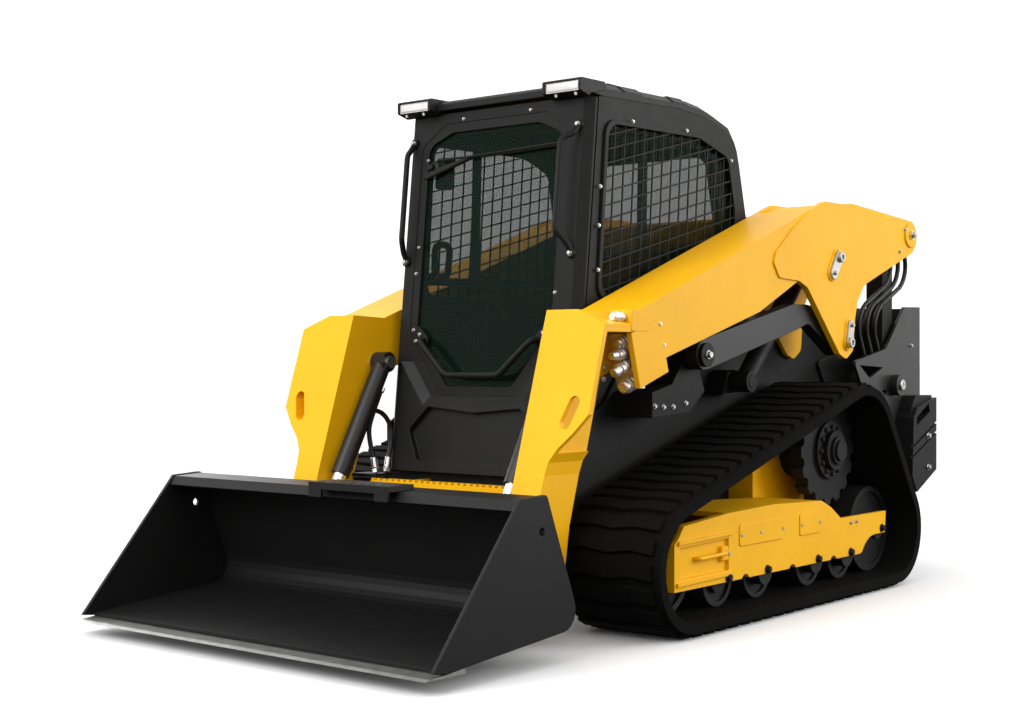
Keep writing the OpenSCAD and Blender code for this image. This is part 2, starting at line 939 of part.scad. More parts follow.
module side_guards() {
    inner = inset(side_window, -guard_rim);
    // Wires end inside the rim
    ends = inset(side_window, -guard_rim / 2);
    high = 760;
    long = 1090;
    color(black)
        pair() {
            across(cab_half, cab_half + guard_t)
                difference() {
                    polygon(rounded(side_window));
                    polygon(rounded(inner));
                }
            across(cab_half, cab_half + wire_t)
                intersection() {
                    polygon(rounded(ends));
                    wires([for (y = [-530 : guard_pitch : 500]) [y, guard_low]], [wire_lean * high, high]);
                }
            across(cab_half + wire_t - wire_sink, cab_half + 2 * wire_t - wire_sink)
                intersection() {
                    polygon(rounded(ends));
                    wires([for (z = [1065 : guard_row : 2060]) [-545, z]], [long, wire_slope * long]);
                }
        }
}

rail_r = 12;
rail_out = 78;

// Point on the cab's front at x, at height z, a distance in front of the face
function off_front(x, z, out) =
    [x, front_at(z) - out * cos(cab_lean), z + out * sin(cab_lean)];

// A bent rail through points, its pieces run on past each bend so that they join
module rail(points, r, past) {
    for (i = [0 : len(points) - 2]) {
        u = (points[i + 1] - points[i]) / norm(points[i + 1] - points[i]);
        rod(points[i] - u * (i > 0 ? past : 0), points[i + 1] + u * (i < len(points) - 2 ? past : 0),
            r - 0.2 * (i % 2));
    }
}

rail_foot = 20;
u_rail_out = 45;

module grab_rails() {
    bend = 5;
    color(black) {
        pair() {
            rail([off_front(434, 1946, 12), off_front(430, 1908, 32), off_front(404, 1878, rail_out),
                off_front(404, 1522, rail_out), off_front(430, 1475, 32), off_front(434, 1440, 12)],
                rail_r, bend);
            for (z = [1946, 1440])
                rod(off_front(434, z, 0), off_front(434, z, 14), rail_foot);
            // Bracket of the lower rail, on the door's rim
            on_front(-10, 2)
                polygon([[378, up_front(1165)], [330, up_front(1165)], [282, up_front(1118)],
                    [282, up_front(1085)], [330, up_front(1085)]]);
        }
        rail([off_front(300, 1106, 4), off_front(292, 1098, u_rail_out), off_front(139, 960, u_rail_out),
            off_front(-139, 960, u_rail_out), off_front(-292, 1098, u_rail_out), off_front(-300, 1106, 4)],
            rail_r + 1, bend);
    }
}

module work_lamps() {
    color(white)
        pair()
            across(lamp_in, lamp_out)
                polygon([[pod_front + 6, lamp_low], [lamp_back, lamp_low],
                    [lamp_back, lamp_high], [pod_front + 6, lamp_high]]);
}

wiper_low = [-359, up_front(1799)];
wiper_high = [-115, up_front(1863)];
wiper_end = [335, up_front(1881)];

module wiper() {
    color(black)
        on_front(-14, 2) {
            polygon(slot_shape(wiper_low, wiper_high, 12));
            polygon(slot_shape(wiper_high - [170, 2], wiper_end, 6));
        }
}

module seat() {
    color(black) {
        translate([-150, -60, deck_z + 20])
            cube([300, 400, 260]);
        translate([-240, -140, deck_z + 280])
            cube([480, 520, 130]);
        across(-230, 230)
            polygon([[260, deck_z + 410], [400, deck_z + 410], [520, 1560], [420, 1580]]);
    }
}

stick = [345, -166];
pod_top = 1210;

module control_pods() {
    color(black)
        pair() {
            translate([280, -280, deck_z + 20])
                cube([130, 560, pod_top - deck_z - 20]);
            translate([stick.x, stick.y, pod_top - 10])
                cylinder(h = 130, r = 14);
            translate([stick.x, stick.y, pod_top + 105])
                cylinder(h = 85, r = 24);
        }
}

// Rear door

hinge_x = -548;
hinge_y = 1966;
rear_door_half = 490;
rear_door_low = 500;
rear_door_high = 1240;
knuckle_r = 12;
knuckle_places = [620, 1080];
knuckle_h = 90;

module rear_door() {
    color(black) {
        difference() {
            translate([-rear_door_half, hinge_y - door_t, rear_door_low])
                cube([2 * rear_door_half, door_t, rear_door_high - rear_door_low]);
            for (i = [0 : 5])
                translate([-360, hinge_y - door_t - 1, 700 + 70 * i])
                    cube([720, door_t + 2, 34]);
        }
        for (z = knuckle_places) {
            translate([hinge_x, hinge_y - 8, z])
                cube([-rear_door_half - hinge_x + 1, 8, knuckle_h]);
            translate([hinge_x, hinge_y, z])
                cylinder(h = knuckle_h, r = knuckle_r);
        }
    }
}

// Lift linkage

module rear_links() {
    color(black)
        pair()
            difference() {
                across(rear_link_in, rear_link_out) {
                    strap(tower_pin, arm_rear_pin, 55);
                    translate(tower_pin)
                        circle(72);
                    translate(arm_rear_pin)
                        circle(66);
                }
                bar(rear_link_in - 1, rear_link_out + 1, tower_pin, pin_r + pin_fit);
                bar(rear_link_in - 1, rear_link_out + 1, arm_rear_pin, pin_r + 2);
            }
}

module control_links() {
    link_out = link_in + link_w;
    color(black)
        pair()
            difference() {
                across(link_in, link_out) {
                    polygon(rounded([
                        [-185, 1108, 0], [560, 1270, 80], [690, 1272, 80], [1015, 1148, 0],
                        [930, 1062, 0], [690, 1190, 60], [590, 1160, 60], [-150, 988, 0]
                    ]));
                    translate(link_pin)
                        circle(60);
                    translate(arm_low_pin)
                        circle(58);
                }
                bar(link_in - 1, link_out + 1, link_pin, pin_r + pin_fit);
                bar(link_in - 1, link_out + 1, arm_low_pin, pin_r + pin_fit);
            }
}

leg_top = 1212;
leg_slope = 0.315;
beam_slope = 0.358;

// Front face of a leg at a height
function leg_front(z) = -882 - leg_slope * (leg_top - z);

// Top of a beam at a place along the machine
function beam_top(y) = 1194 + beam_slope * (y + 730);

module leg_side() {
    polygon([
        [leg_front(leg_top), leg_top], [leg_front(330), 330], [bucket_pin.x - 72, bucket_pin.y],
        [bucket_pin.x + 72, bucket_pin.y], [leg_front(420) + leg_depth, 420],
        [leg_front(960) + leg_depth, 960], [-640, 1000], [-640, beam_top(-640)], [-700, beam_top(-700)]
    ]);
    translate(bucket_pin)
        circle(72);
}

module leg_front_shape() {
    polygon([
        [arm_in, 100], [leg_out, 100], [leg_out, 609], [leg_out + 6, 656], [leg_out + 34, 705],
        [arm_out - 55, 761], [arm_out, 830], [arm_out, 1157], [arm_out - 141, leg_top + 1],
        [arm_out - 141, leg_top + 60], [arm_in, leg_top + 60]
    ]);
}

module beam_side() {
    polygon([
        [-700, beam_top(-700)], [-700, 990], [-640, 1000], [-503, 1034], [206, 1227], [514, 1360],
        [560, 1380], [640, 1680], [640, beam_top(640)]
    ]);
}

// Rear plate, from the beam to the rear pin and down to the control link
module rear_plate() {
    polygon(rounded([
        [476, 1593, 20], [326, 1481, 30], [310, 1437, 20], [359, 1375, 30], [531, 1368, 60],
        [606, 1341, 40], [arm_low_pin.x - 67, 1053, 20], [arm_low_pin.x - 4, 1030, 40],
        [arm_low_pin.x + 65, 1071, 30], [1056, 1217, 40], [1082, 1295, 60], [1147, 1372, 60],
        [1213, 1396, 20], [arm_rear_pin.x + 30, 1551, 30], [arm_rear_pin.x + 80, 1600, 50],
        [arm_rear_pin.x + 76, 1668, 50], [arm_rear_pin.x + 30, 1705, 30], [1031, 1742, 30],
        [930, 1733, 20], [770, beam_top(770), 0], [640, beam_top(640), 0]
    ]));
}

// Upper edge of the rear plates from the beam to the rear, and how far the top plate lies below it
arm_top = [[620, beam_top(620)], [770, beam_top(770)], [930, 1733], [1031, 1742]];
top_drop = 14;
leg_slot = slot_shape([arm_out - 97, 800], [arm_out - 73, 872], 24);
// Raised pads under the pins' heads
pad_t = 8;
// Pocket for the couplers in the left leg, behind its front plate
pocket_in = arm_in + 150;
pocket_low = 690;
pocket_high = 1128;
pocket_rear = [-534, -672];
leg_plate = 22;
shield_t = 20;
shield = [[-739, 1123], [-680, 919], [-490, 981], [-553, 1180]];

module lift_arm() {
    difference() {
        union() {
            intersection() {
                across(arm_in, arm_out)
                    leg_side();
                along(-1400, -400)
                    leg_front_shape();
            }
            across(arm_in, arm_out)
                beam_side();
            across(arm_in, arm_in + arm_t)
                rear_plate();
            across(arm_out - arm_t, plate_out)
                rear_plate();
            // Top plate let in between the two rear plates
            across(arm_in, arm_out)
                polygon([for (q = plate(arm_top, -arm_t)) q - [0, top_drop]]);
            bar(plate_out - touch, plate_out + pad_t, lift_eye, 40);
            bar(plate_out - touch, plate_out + pad_t, arm_low_pin, 36);
            bar(plate_out - touch, plate_out + pad_t, arm_rear_pin, 60);
        }
        bar(arm_in - 1, arm_out + 1, bucket_pin, pin_r - 4 + pin_fit);
        // Slot through the leg's front plate
        along(leg_front(800) - 30, leg_front(872) + 40)
            polygon(leg_slot);
    }
}

// The left arm, with the couplers' pocket and the shield beside it
module coupler_arm() {
    difference() {
        lift_arm();
        across(pocket_in, arm_out + 1)
            polygon([[leg_front(pocket_low) + leg_plate, pocket_low], [pocket_rear[0], pocket_low],
                [pocket_rear[1], pocket_high], [leg_front(pocket_high) + leg_plate, pocket_high]]);
    }
    across(arm_out - shield_t, arm_out + 3)
        polygon(shield);
}

module lift_arm_left() {
    color(yellow)
        coupler_arm();
}

module lift_arm_right() {
    color(yellow)
        mirror([1, 0, 0])
            lift_arm();
}

module arm_crossmember() {
    color(yellow)
        across(-arm_in, arm_in)
            polygon(rounded([[740, 1560, 20], [930, 1560, 20], [930, 1685, 20], [740, 1685, 20]]));
}

module arm_pins() {
    head = plate_out + pad_t;
    color(chrome)
        pair() {
            bar(link_in - 4, arm_out - arm_t, arm_low_pin, pin_r);
            bar(head, head + 14, arm_low_pin, 22);
            bar(head, head + 14, lift_eye, 22);
            bar(head, head + 10, arm_rear_pin, 22);
            bar(tilt_x - 50, arm_in, tilt_base, pin_r - 6);
        }
}

coupler_x = arm_in + 230;
manifold_t = 34;
// Each coupler's tip and root, and its radius
couplers = [
    [[-757, 1085], [-684, 1107], 14], [[-792, 1039], [-672, 1056], 13], [[-778, 975], [-652, 1027], 15],
    [[-720, 922], [-630, 948], 18]
];

module aux_couplers() {
    gap = [-touch, 0];
    back = [for (z = [920, pocket_high - 6])
        [pocket_rear[0] + (z - pocket_low) * (pocket_rear[1] - pocket_rear[0])
            / (pocket_high - pocket_low), z] + gap];
    color(chrome) {
        across(pocket_in, coupler_x + 24)
            polygon([back[0], back[1], back[1] - [manifold_t, 0], back[0] - [manifold_t, 0]]);
        for (c = couplers) {
            tip = [coupler_x, c[0].x, c[0].y];
            root = [coupler_x, c[1].x, c[1].y];
            rod(tip, root, c[2]);
            // Locking sleeve
            rod(tip + (root - tip) * 0.3, tip + (root - tip) * 0.55, c[2] + 4);
        }
    }
}

// Cylinders

// Local frame with z along a cylinder's line at x, from its base pin to its rod's eye
module on_line(x, base, eye) {
    d = eye - base;
    translate([x, base.x, base.y])
        rotate([atan2(-d.x, d.y), 0, 0])
            children();
}

barrel_wall = 9;

// A barrel of length l with its base eye, its pin across the machine
module barrel(r, l, eye_w, bore) {
    difference() {
        union() {
            cylinder(h = l, r = r);
            rotate([0, 90, 0])
                translate([0, 0, -eye_w / 2])
                    cylinder(h = eye_w, r = r + 4);
        }
        rotate([0, 90, 0])
            translate([0, 0, -eye_w])
                cylinder(h = 2 * eye_w, r = bore);
        translate([0, 0, r + 24])
            cylinder(h = l, r = r - barrel_wall);
    }
}

// A rod from z0 to its eye at z1
module piston(r, z0, z1, eye_w, eye_r, bore) {
    difference() {
        union() {
            translate([0, 0, z0])
                cylinder(h = z1 - z0, r = r);
            translate([0, 0, z1])
                rotate([0, 90, 0])
                    translate([0, 0, -eye_w / 2])
                        cylinder(h = eye_w, r = eye_r);
        }
        translate([0, 0, z1])
            rotate([0, 90, 0])
                translate([0, 0, -eye_w])
                    cylinder(h = 2 * eye_w, r = bore);
    }
}

lift_barrel_l = 690;
tilt_barrel_l = 520;

module lift_barrels() {
    color(black)
        pair()
            on_line(lift_x, lift_base, lift_eye)
                barrel(lift_r, lift_barrel_l, 2 * lift_r - 4, pin_r - 4 + pin_fit);
}

module lift_rods() {
    r = lift_r - barrel_wall - rod_fit;
    color(chrome)
        pair()
            on_line(lift_x, lift_base, lift_eye)
                piston(r, lift_r + 40, lift_reach, 80, 46, pin_r);
}

module tilt_barrels() {
    color(black)
        pair()
            on_line(tilt_x, tilt_base, tilt_eye)
                barrel(tilt_r, tilt_barrel_l, 2 * tilt_r - 8, pin_r - 6 + pin_fit);
}

module tilt_rods() {
    r = tilt_r - barrel_wall - rod_fit;
    color(chrome)
        pair()
            on_line(tilt_x, tilt_base, tilt_eye)
                piston(r, tilt_r + 130, tilt_reach, 60, 38, pin_r - 8);
}

// Bucket

bucket_half = bucket_w / 2;
heel = [-1187, 120];
back_top = [-1377, 574];
lip_top = [-1515, 567];
floor_front = [-1890, 58];
edge_tip = [-1978, 50];

lip_low = lip_top + lip_fold * [-0.56, -0.83];

// Outer line of the shell, from the lip's folded flange over the top, down the back and along the floor
shell_path = concat(
    [lip_low, lip_top],
    corner(lip_top, back_top, heel, 24),
    corner(back_top, heel, floor_front, 90),
    [floor_front]
);

module bucket_shell() {
    color(black)
        across(side_t - bucket_half, bucket_half - side_t)
            polygon(plate(shell_path, -shell_t));
}

module bucket_sides() {
    color(black)
        pair()
            difference() {
                across(bucket_half - side_t, bucket_half)
                    polygon(rounded([
                        [-1942, 68, 0], [-1880, 60, 0], [heel.x, heel.y - 4, 70],
                        [back_top.x, back_top.y + 4, 20],
                        [lip_top.x, lip_top.y + 4, 10]
                    ]));
                bar(bucket_half - side_t - 1, bucket_half + 1, [-1404, 456], 14);
            }
}

module cutting_edge() {
    color(dark_steel)
        across(-bucket_half, bucket_half)
            polygon([edge_tip, [-1790, 48], [-1790, 66.7], [-1892, 57.6], [-1960, 56]]);
}

// Step bolted on the lip, its front hanging before the flange
step_right = -43;
step_left = 347;
step_front = lip_top.x - 61;
step_rear = lip_top.x + 75;
step_top = lip_top.y + 22;
step_t = 12;
notch = [21, 284];

module bucket_step() {
    lip = (back_top - lip_top) / norm(back_top - lip_top);
    foot = lip_top + [0, touch];
    color(black)
        difference() {
            across(step_right, step_left)
                polygon([
                    [step_front, lip_top.y - 33], [step_front + step_t, lip_top.y - 33],
                    [step_front + step_t, foot.y], foot, foot + lip * (step_rear - lip_top.x),
                    [step_rear, step_top], [step_front, step_top]
                ]);
            // Notch in the front, and a row of holes in the tread
            translate([notch[0], step_front - 1, lip_top.y - 40])
                cube([notch[1] - notch[0], step_t + 2, 35]);
            for (i = [0 : 6])
                translate([step_right + 45 + 50 * i, lip_top.x - 30, lip_top.y - 10])
                    cylinder(h = 60, r = 13);
        }
}

coupler_half = 600;
coupler_plate = 40;
coupler_h = 380;
// Upright plates that carry the pins, from and to across the machine
coupler_ears = [[tilt_x - 62, tilt_x - 42], [tilt_x + 40, arm_in - 5], [leg_out + 6, leg_out + 28]];
ear_r = 54;

module quick_coupler() {
    back = (back_top - heel) / norm(back_top - heel);
    out = [-back.y, back.x];
    base = heel + back * 70 - out * touch;
    color(black)
        pair() {
            // Face plate against the bucket's back
            across(0, coupler_half)
                polygon([base, base + back * coupler_h, base + back * coupler_h - out * coupler_plate,
                    base - out * coupler_plate]);
            for (x = coupler_ears)
                across(x[0], x[1]) {
                    polygon([base - out * 30, base + back * 330 - out * 30, tilt_eye + [20, 30],
                        bucket_pin + [50, 20], bucket_pin + [0, -ear_r]]);
                    translate(bucket_pin)
                        circle(ear_r);
                }
            bar(coupler_ears[1][0], coupler_ears[2][1], bucket_pin, pin_r - 4);
        }
}

chassis_tub();
rear_tower_left();
rear_tower_right();
counterweights();
engine_block();
hood();
front_step();
link_brackets();
track_frame_left();
track_frame_right();
track_left();
track_right();
sprockets();
rollers();
cab_floor();
front_panel();
cab_front_frame();
front_door();
door_glass();
cab_left_wall();
cab_right_wall();
cab_rear_wall();
cab_roof();
cab_windows();
side_guards();
grab_rails();
work_lamps();
wiper();
seat();
control_pods();
rear_door();
rear_links();
control_links();
lift_arm_left();
lift_arm_right();
arm_crossmember();
arm_pins();
aux_couplers();
lift_barrels();
lift_rods();
tilt_barrels();
tilt_rods();
quick_coupler();
bucket_shell();
bucket_sides();
cutting_edge();
bucket_step();
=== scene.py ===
"""Looks of a compact track loader: finishes, fasteners, hoses, rails and cab fittings."""

import json
import math

import bmesh
import bpy
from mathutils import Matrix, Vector


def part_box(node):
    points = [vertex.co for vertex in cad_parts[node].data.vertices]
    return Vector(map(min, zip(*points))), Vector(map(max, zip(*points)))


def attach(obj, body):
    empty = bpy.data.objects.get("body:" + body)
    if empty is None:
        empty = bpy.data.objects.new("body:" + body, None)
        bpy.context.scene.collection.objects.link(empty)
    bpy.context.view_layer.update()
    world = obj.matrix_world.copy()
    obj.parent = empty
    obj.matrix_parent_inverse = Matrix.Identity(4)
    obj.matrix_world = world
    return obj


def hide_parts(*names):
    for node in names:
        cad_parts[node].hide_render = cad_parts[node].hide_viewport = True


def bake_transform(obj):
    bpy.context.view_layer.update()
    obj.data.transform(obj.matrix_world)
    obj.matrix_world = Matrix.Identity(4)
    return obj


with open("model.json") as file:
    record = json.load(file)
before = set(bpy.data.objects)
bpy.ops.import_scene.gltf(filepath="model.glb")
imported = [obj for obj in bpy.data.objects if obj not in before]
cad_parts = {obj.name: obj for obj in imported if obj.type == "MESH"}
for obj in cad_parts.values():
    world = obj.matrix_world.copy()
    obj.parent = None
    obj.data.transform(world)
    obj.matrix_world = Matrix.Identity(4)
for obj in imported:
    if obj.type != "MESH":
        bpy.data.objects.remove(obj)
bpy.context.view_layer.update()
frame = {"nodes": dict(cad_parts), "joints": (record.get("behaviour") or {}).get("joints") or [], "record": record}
NODES = frame["nodes"]
JOINTS = {row["name"]: row for row in frame["joints"]}

# Places and sizes of the pieces are millimetres in the part's frame
MM = 0.001
LOW, HIGH = 0, 1
X, Y, Z = 0, 1, 2
# Signs of x on the machine's left and right
SIDES = (1, -1)


def side_of(node, end, axis):
    """The low or high side of a node's box along an axis."""
    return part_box(node)[end][axis] / MM


def centre_of(node):
    """Middle of a node's box on the machine's side, as (y, z)."""
    return tuple((side_of(node, LOW, axis) + side_of(node, HIGH, axis)) / 2 for axis in (Y, Z))


def pin_of(joint):
    """Place of a hinge on the machine's side, as (y, z)."""
    return tuple(value / MM for value in JOINTS[joint]["pos_m"][1:])


# Faces of the solids that carry pieces, as distances from the middle plane
GUARD_OUT = side_of("side_guards", HIGH, X)
WALL_IN = side_of("cab_left_wall", LOW, X)
WEIGHT_OUT = side_of("counterweights", HIGH, X)
BOSS_OUT = side_of("rear_tower_left", HIGH, X)
LINK_OUT = side_of("link_brackets", HIGH, X)
PAD_T = 8.0
PAD_OUT = side_of("lift_arm_left", HIGH, X)
PLATE_OUT = PAD_OUT - PAD_T
FRAME_OUT = 905.0
TOWER_OUT = 706.0
BRACKET_OUT = 680.0
HUB_OUT = 813.0

# The cab's front leans back from this y at the deck
CAB_FRONT = -722.0
CAB_LEAN = math.radians(5.87)
DECK_Z = side_of("cab_floor", LOW, Z)

# Pins and axles, as (y, z)
LINK_PIN = pin_of("lift")
ARM_LOW_PIN = pin_of("arm_turn")
TOWER_PIN = pin_of("rear_link_turn")
ARM_REAR_PIN = (1640.0, 1637.0)
LIFT_EYE = (875.0, 1488.0)
SPROCKET = centre_of("sprockets")

# Base colours, linear
YELLOW = (0.78, 0.395, 0.0015)
BLACK = (0.0066, 0.0064, 0.0062)
SATIN_BLACK = (0.0100, 0.0098, 0.0095)
BUCKET_BLACK = (0.0062, 0.0060, 0.0059)
PLASTIC = (0.0058, 0.0056, 0.0054)
RUBBER = (0.0042, 0.0040, 0.0038)
IRON = (0.009, 0.009, 0.009)
WORN_STEEL = (0.30, 0.30, 0.29)
STEEL = (0.50, 0.50, 0.49)
BRIGHT = (0.74, 0.74, 0.73)
CHROME = (0.78, 0.78, 0.77)
GLASS = (0.004, 0.012, 0.008)
LAMP = (0.66, 0.65, 0.63)
CLOTH = (0.010, 0.010, 0.011)


# Materials

# Noise scales, per metre, of shade, gloss and orange peel
PAINT_CLOUDS = 3.0
PAINT_GLOSS = 14.0
PAINT_PEEL = 260.0
MOULD_CLOUDS = 6.0
MOULD_GLOSS = 20.0
GLASS_CLOUDS = 2.0
# Depths of bump and radii of softened edges, in metres
PEEL_DEPTH = 0.0006
GRAIN_DEPTH = 0.0012
SOFT_EDGE = 0.004
MOULDED_EDGE = 0.008


def new_material(name):
    """An empty node material with its principled shader, ready for more nodes."""
    material = bpy.data.materials.new(name)
    material.use_nodes = True
    shader = material.node_tree.nodes["Principled BSDF"]
    return material, material.node_tree, shader


def object_noise(tree, scale, detail=4.0):
    """Noise in the object's own coordinates, per metre."""
    place = tree.nodes.new("ShaderNodeTexCoord")
    noise = tree.nodes.new("ShaderNodeTexNoise")
    noise.inputs["Scale"].default_value = scale
    noise.inputs["Detail"].default_value = detail
    noise.inputs["Roughness"].default_value = 0.55
    tree.links.new(place.outputs["Object"], noise.inputs["Vector"])
    return noise


def vary_colour(tree, shader, colour, noise, low, high):
    """Base colour between two brightnesses of one colour, by a noise."""
    ramp = tree.nodes.new("ShaderNodeValToRGB")
    for element, position, share in zip(ramp.color_ramp.elements, (0.3, 0.7), (low, high)):
        element.position = position
        element.color = (*[c * share for c in colour], 1)
    tree.links.new(noise.outputs["Fac"], ramp.inputs["Fac"])
    tree.links.new(ramp.outputs["Color"], shader.inputs["Base Color"])


def vary_roughness(tree, shader, noise, low, high):
    """Roughness between two values, by a noise."""
    span = tree.nodes.new("ShaderNodeMapRange")
    span.inputs["To Min"].default_value = low
    span.inputs["To Max"].default_value = high
    tree.links.new(noise.outputs["Fac"], span.inputs["Value"])
    tree.links.new(span.outputs["Result"], shader.inputs["Roughness"])


def add_bump(tree, shader, noise, strength, distance, edge):
    """A bump from a noise, over edges rounded to a radius where that isn't zero."""
    bump = tree.nodes.new("ShaderNodeBump")
    bump.inputs["Strength"].default_value = strength
    bump.inputs["Distance"].default_value = distance
    tree.links.new(noise.outputs["Fac"], bump.inputs["Height"])
    if edge > 0:
        round_edge = tree.nodes.new("ShaderNodeBevel")
        round_edge.samples = 4
        round_edge.inputs["Radius"].default_value = edge
        tree.links.new(round_edge.outputs["Normal"], bump.inputs["Normal"])
    tree.links.new(bump.outputs["Normal"], shader.inputs["Normal"])


def paint(name, colour, low_rough, high_rough, coat=0.0, bump=0.15, specular=0.5):
    """Sprayed paint: slight orange peel, a little change of gloss and shade, soft edges."""
    material, tree, shader = new_material(name)
    vary_colour(tree, shader, colour, object_noise(tree, PAINT_CLOUDS), 0.95, 1.05)
    vary_roughness(tree, shader, object_noise(tree, PAINT_GLOSS), low_rough, high_rough)
    add_bump(tree, shader, object_noise(tree, PAINT_PEEL, detail=2.0), bump, PEEL_DEPTH, SOFT_EDGE)
    shader.inputs["Specular IOR Level"].default_value = specular
    shader.inputs["Coat Weight"].default_value = coat
    shader.inputs["Coat Roughness"].default_value = 0.18
    return material


def moulding(name, colour, rough, grain, bump, edge=SOFT_EDGE, specular=0.5):
    """Moulded plastic or rubber with a fine grain and soft edges."""
    material, tree, shader = new_material(name)
    vary_colour(tree, shader, colour, object_noise(tree, MOULD_CLOUDS), 0.85, 1.2)
    vary_roughness(tree, shader, object_noise(tree, MOULD_GLOSS), rough - 0.08, rough + 0.08)
    add_bump(tree, shader, object_noise(tree, grain, detail=3.0), bump, GRAIN_DEPTH, edge)
    shader.inputs["Specular IOR Level"].default_value = specular
    return material


def metal(name, colour, low_rough, high_rough, scale=30.0):
    """Bare metal with uneven gloss."""
    material, tree, shader = new_material(name)
    vary_colour(tree, shader, colour, object_noise(tree, scale), 0.8, 1.1)
    vary_roughness(tree, shader, object_noise(tree, scale * 2), low_rough, high_rough)
    shader.inputs["Metallic"].default_value = 1.0
    return material


def glazing(name, colour, alpha):
    """Tinted safety glass, seen through by its alpha."""
    material, tree, shader = new_material(name)
    vary_colour(tree, shader, colour, object_noise(tree, GLASS_CLOUDS), 0.95, 1.05)
    shader.inputs["Roughness"].default_value = 0.04
    shader.inputs["Alpha"].default_value = alpha
    shader.inputs["Specular IOR Level"].default_value = 0.10
    return material


MATERIALS = {
    "yellow_paint": paint("yellow_paint", YELLOW, 0.40, 0.52, coat=0.03, specular=0.20),
    "black_paint": paint("black_paint", BLACK, 0.46, 0.60, specular=0.16),
    "satin_black": paint("satin_black", SATIN_BLACK, 0.34, 0.48, coat=0.05, specular=0.34),
    "bucket_paint": paint("bucket_paint", BUCKET_BLACK, 0.40, 0.54, bump=0.25, specular=0.20),
    "belt_rubber": moulding("belt_rubber", RUBBER, 0.80, 120.0, 0.35, specular=0.04),
    "dark_steel": paint("dark_steel", IRON, 0.48, 0.64, bump=0.3, specular=0.20),
    "edge_steel": metal("edge_steel", WORN_STEEL, 0.38, 0.55),
    "engine_iron": moulding("engine_iron", IRON, 0.7, 60.0, 0.4),
    "moulded_plastic": moulding("moulded_plastic", PLASTIC, 0.50, 400.0, 0.3, MOULDED_EDGE, 0.20),
    "tinted_glass": glazing("tinted_glass", GLASS, 0.42),
    "lamp_white": moulding("lamp_white", LAMP, 0.20, 300.0, 0.05),
    "seat_cover": moulding("seat_cover", CLOTH, 0.80, 700.0, 0.6, edge=0.0),
    "chrome": metal("chrome", CHROME, 0.16, 0.32),
    "zinc": metal("zinc", STEEL, 0.28, 0.42, 60.0),
    "bright_zinc": metal("bright_zinc", BRIGHT, 0.34, 0.50, 60.0),
    "hose_rubber": moulding("hose_rubber", RUBBER, 0.50, 220.0, 0.3, edge=0.0, specular=0.4),
}

# Nodes whose finish isn't the one that their slot names
NODE_FINISH = {
    "aux_couplers": "bright_zinc",
    "rear_tower_left": "satin_black",
    "rear_tower_right": "satin_black",
    "control_links": "satin_black",
    "tilt_barrels": "satin_black",
}


def dress_frame():
    """Every CAD node takes the finish of its material slot, or its own."""
    for part in frame["record"]["subparts"]:
        finish = NODE_FINISH.get(part["node"], part["material_slot"])
        mesh = NODES[part["node"]].data
        mesh.materials.clear()
        mesh.materials.append(MATERIALS[finish])


# Mesh building, in millimetres

# How much of a side the rounding of a corner may take, on a path and on an outline
PATH_SHARE = 0.45
OUTLINE_SHARE = 0.48
# How deep a piece sinks into the face that it stands on
SINK = 0.5
# Edges sharper than this many degrees aren't shaded smooth
SHARP_ANGLE = 35


def ring_of(mesh, loop):
    """Vertices on a closed loop of points."""
    return [mesh.verts.new(Vector(point) * MM) for point in loop]


def skin(mesh, rings):
    """Faces between each ring of vertices and the next."""
    count = len(rings[0])
    for low, high in zip(rings, rings[1:]):
        for i in range(count):
            j = (i + 1) % count
            mesh.faces.new((low[i], low[j], high[j], high[i]))


def loft(mesh, loops):
    """Skin through closed loops of as many points each, with a cap on both ends."""
    rings = [ring_of(mesh, loop) for loop in loops]
    skin(mesh, rings)
    mesh.faces.new(list(reversed(rings[0])))
    mesh.faces.new(rings[-1])


def band(mesh, loops):
    """Skin through closed loops of which the last joins the first, as round a window."""
    rings = [ring_of(mesh, loop) for loop in loops]
    skin(mesh, rings + rings[:1])


def axes_for(axis):
    """Two unit vectors across a direction."""
    axis = Vector(axis).normalized()
    side = axis.cross(Vector((0, 0, 1)))
    if side.length < 0.1:
        side = axis.cross(Vector((0, 1, 0)))
    side.normalize()
    return side, axis.cross(side)


def circle(centre, u, v, radius, sides):
    """Points on a circle about a centre, in the plane of two unit vectors."""
    turns = [2 * math.pi * i / sides for i in range(sides)]
    return [centre + (u * math.cos(turn) + v * math.sin(turn)) * radius for turn in turns]


def turned(mesh, place, axis, profile, sides):
    """A turned form: (radius, height) steps of a profile along an axis from a place."""
    place = Vector(place)
    axis = Vector(axis).normalized()
    u, v = axes_for(axis)
    loft(mesh, [circle(place + axis * height, u, v, radius, sides) for radius, height in profile])


def bolt(mesh, place, axis, size):
    """A washer and a chamfered hexagon head, of the given width across its corners."""
    r = size / 2
    turned(mesh, place, axis, [(1.25 * r, -SINK), (1.25 * r, 0.22 * r), (1.15 * r, 0.3 * r)],
           sides=24)
    turned(mesh, place, axis, [(r, 0.2 * r), (r, 0.95 * r), (0.84 * r, 1.12 * r)], sides=6)


def round_corner(before, here, after, radius, share, steps):
    """Points that round a corner, over no more than a share of the sides beside it."""
    back = (before - here).normalized()
    onward = (after - here).normalized()
    reach = radius / math.tan(back.angle(onward) / 2)
    reach = min(reach, share * (before - here).length, share * (after - here).length)
    first, last = here + back * reach, here + onward * reach
    points = []
    for i in range(steps + 1):
        t = i / steps
        points.append(first * (1 - t) ** 2 + here * 2 * t * (1 - t) + last * t ** 2)
    return points


def rounded_path(points, bend, steps=6):
    """Points of a polyline with its corners rounded to a bend radius."""
    points = [Vector(point) for point in points]
    path = [points[0]]
    for corner in zip(points, points[1:], points[2:]):
        path += round_corner(*corner, bend, PATH_SHARE, steps)
    return path + [points[-1]]


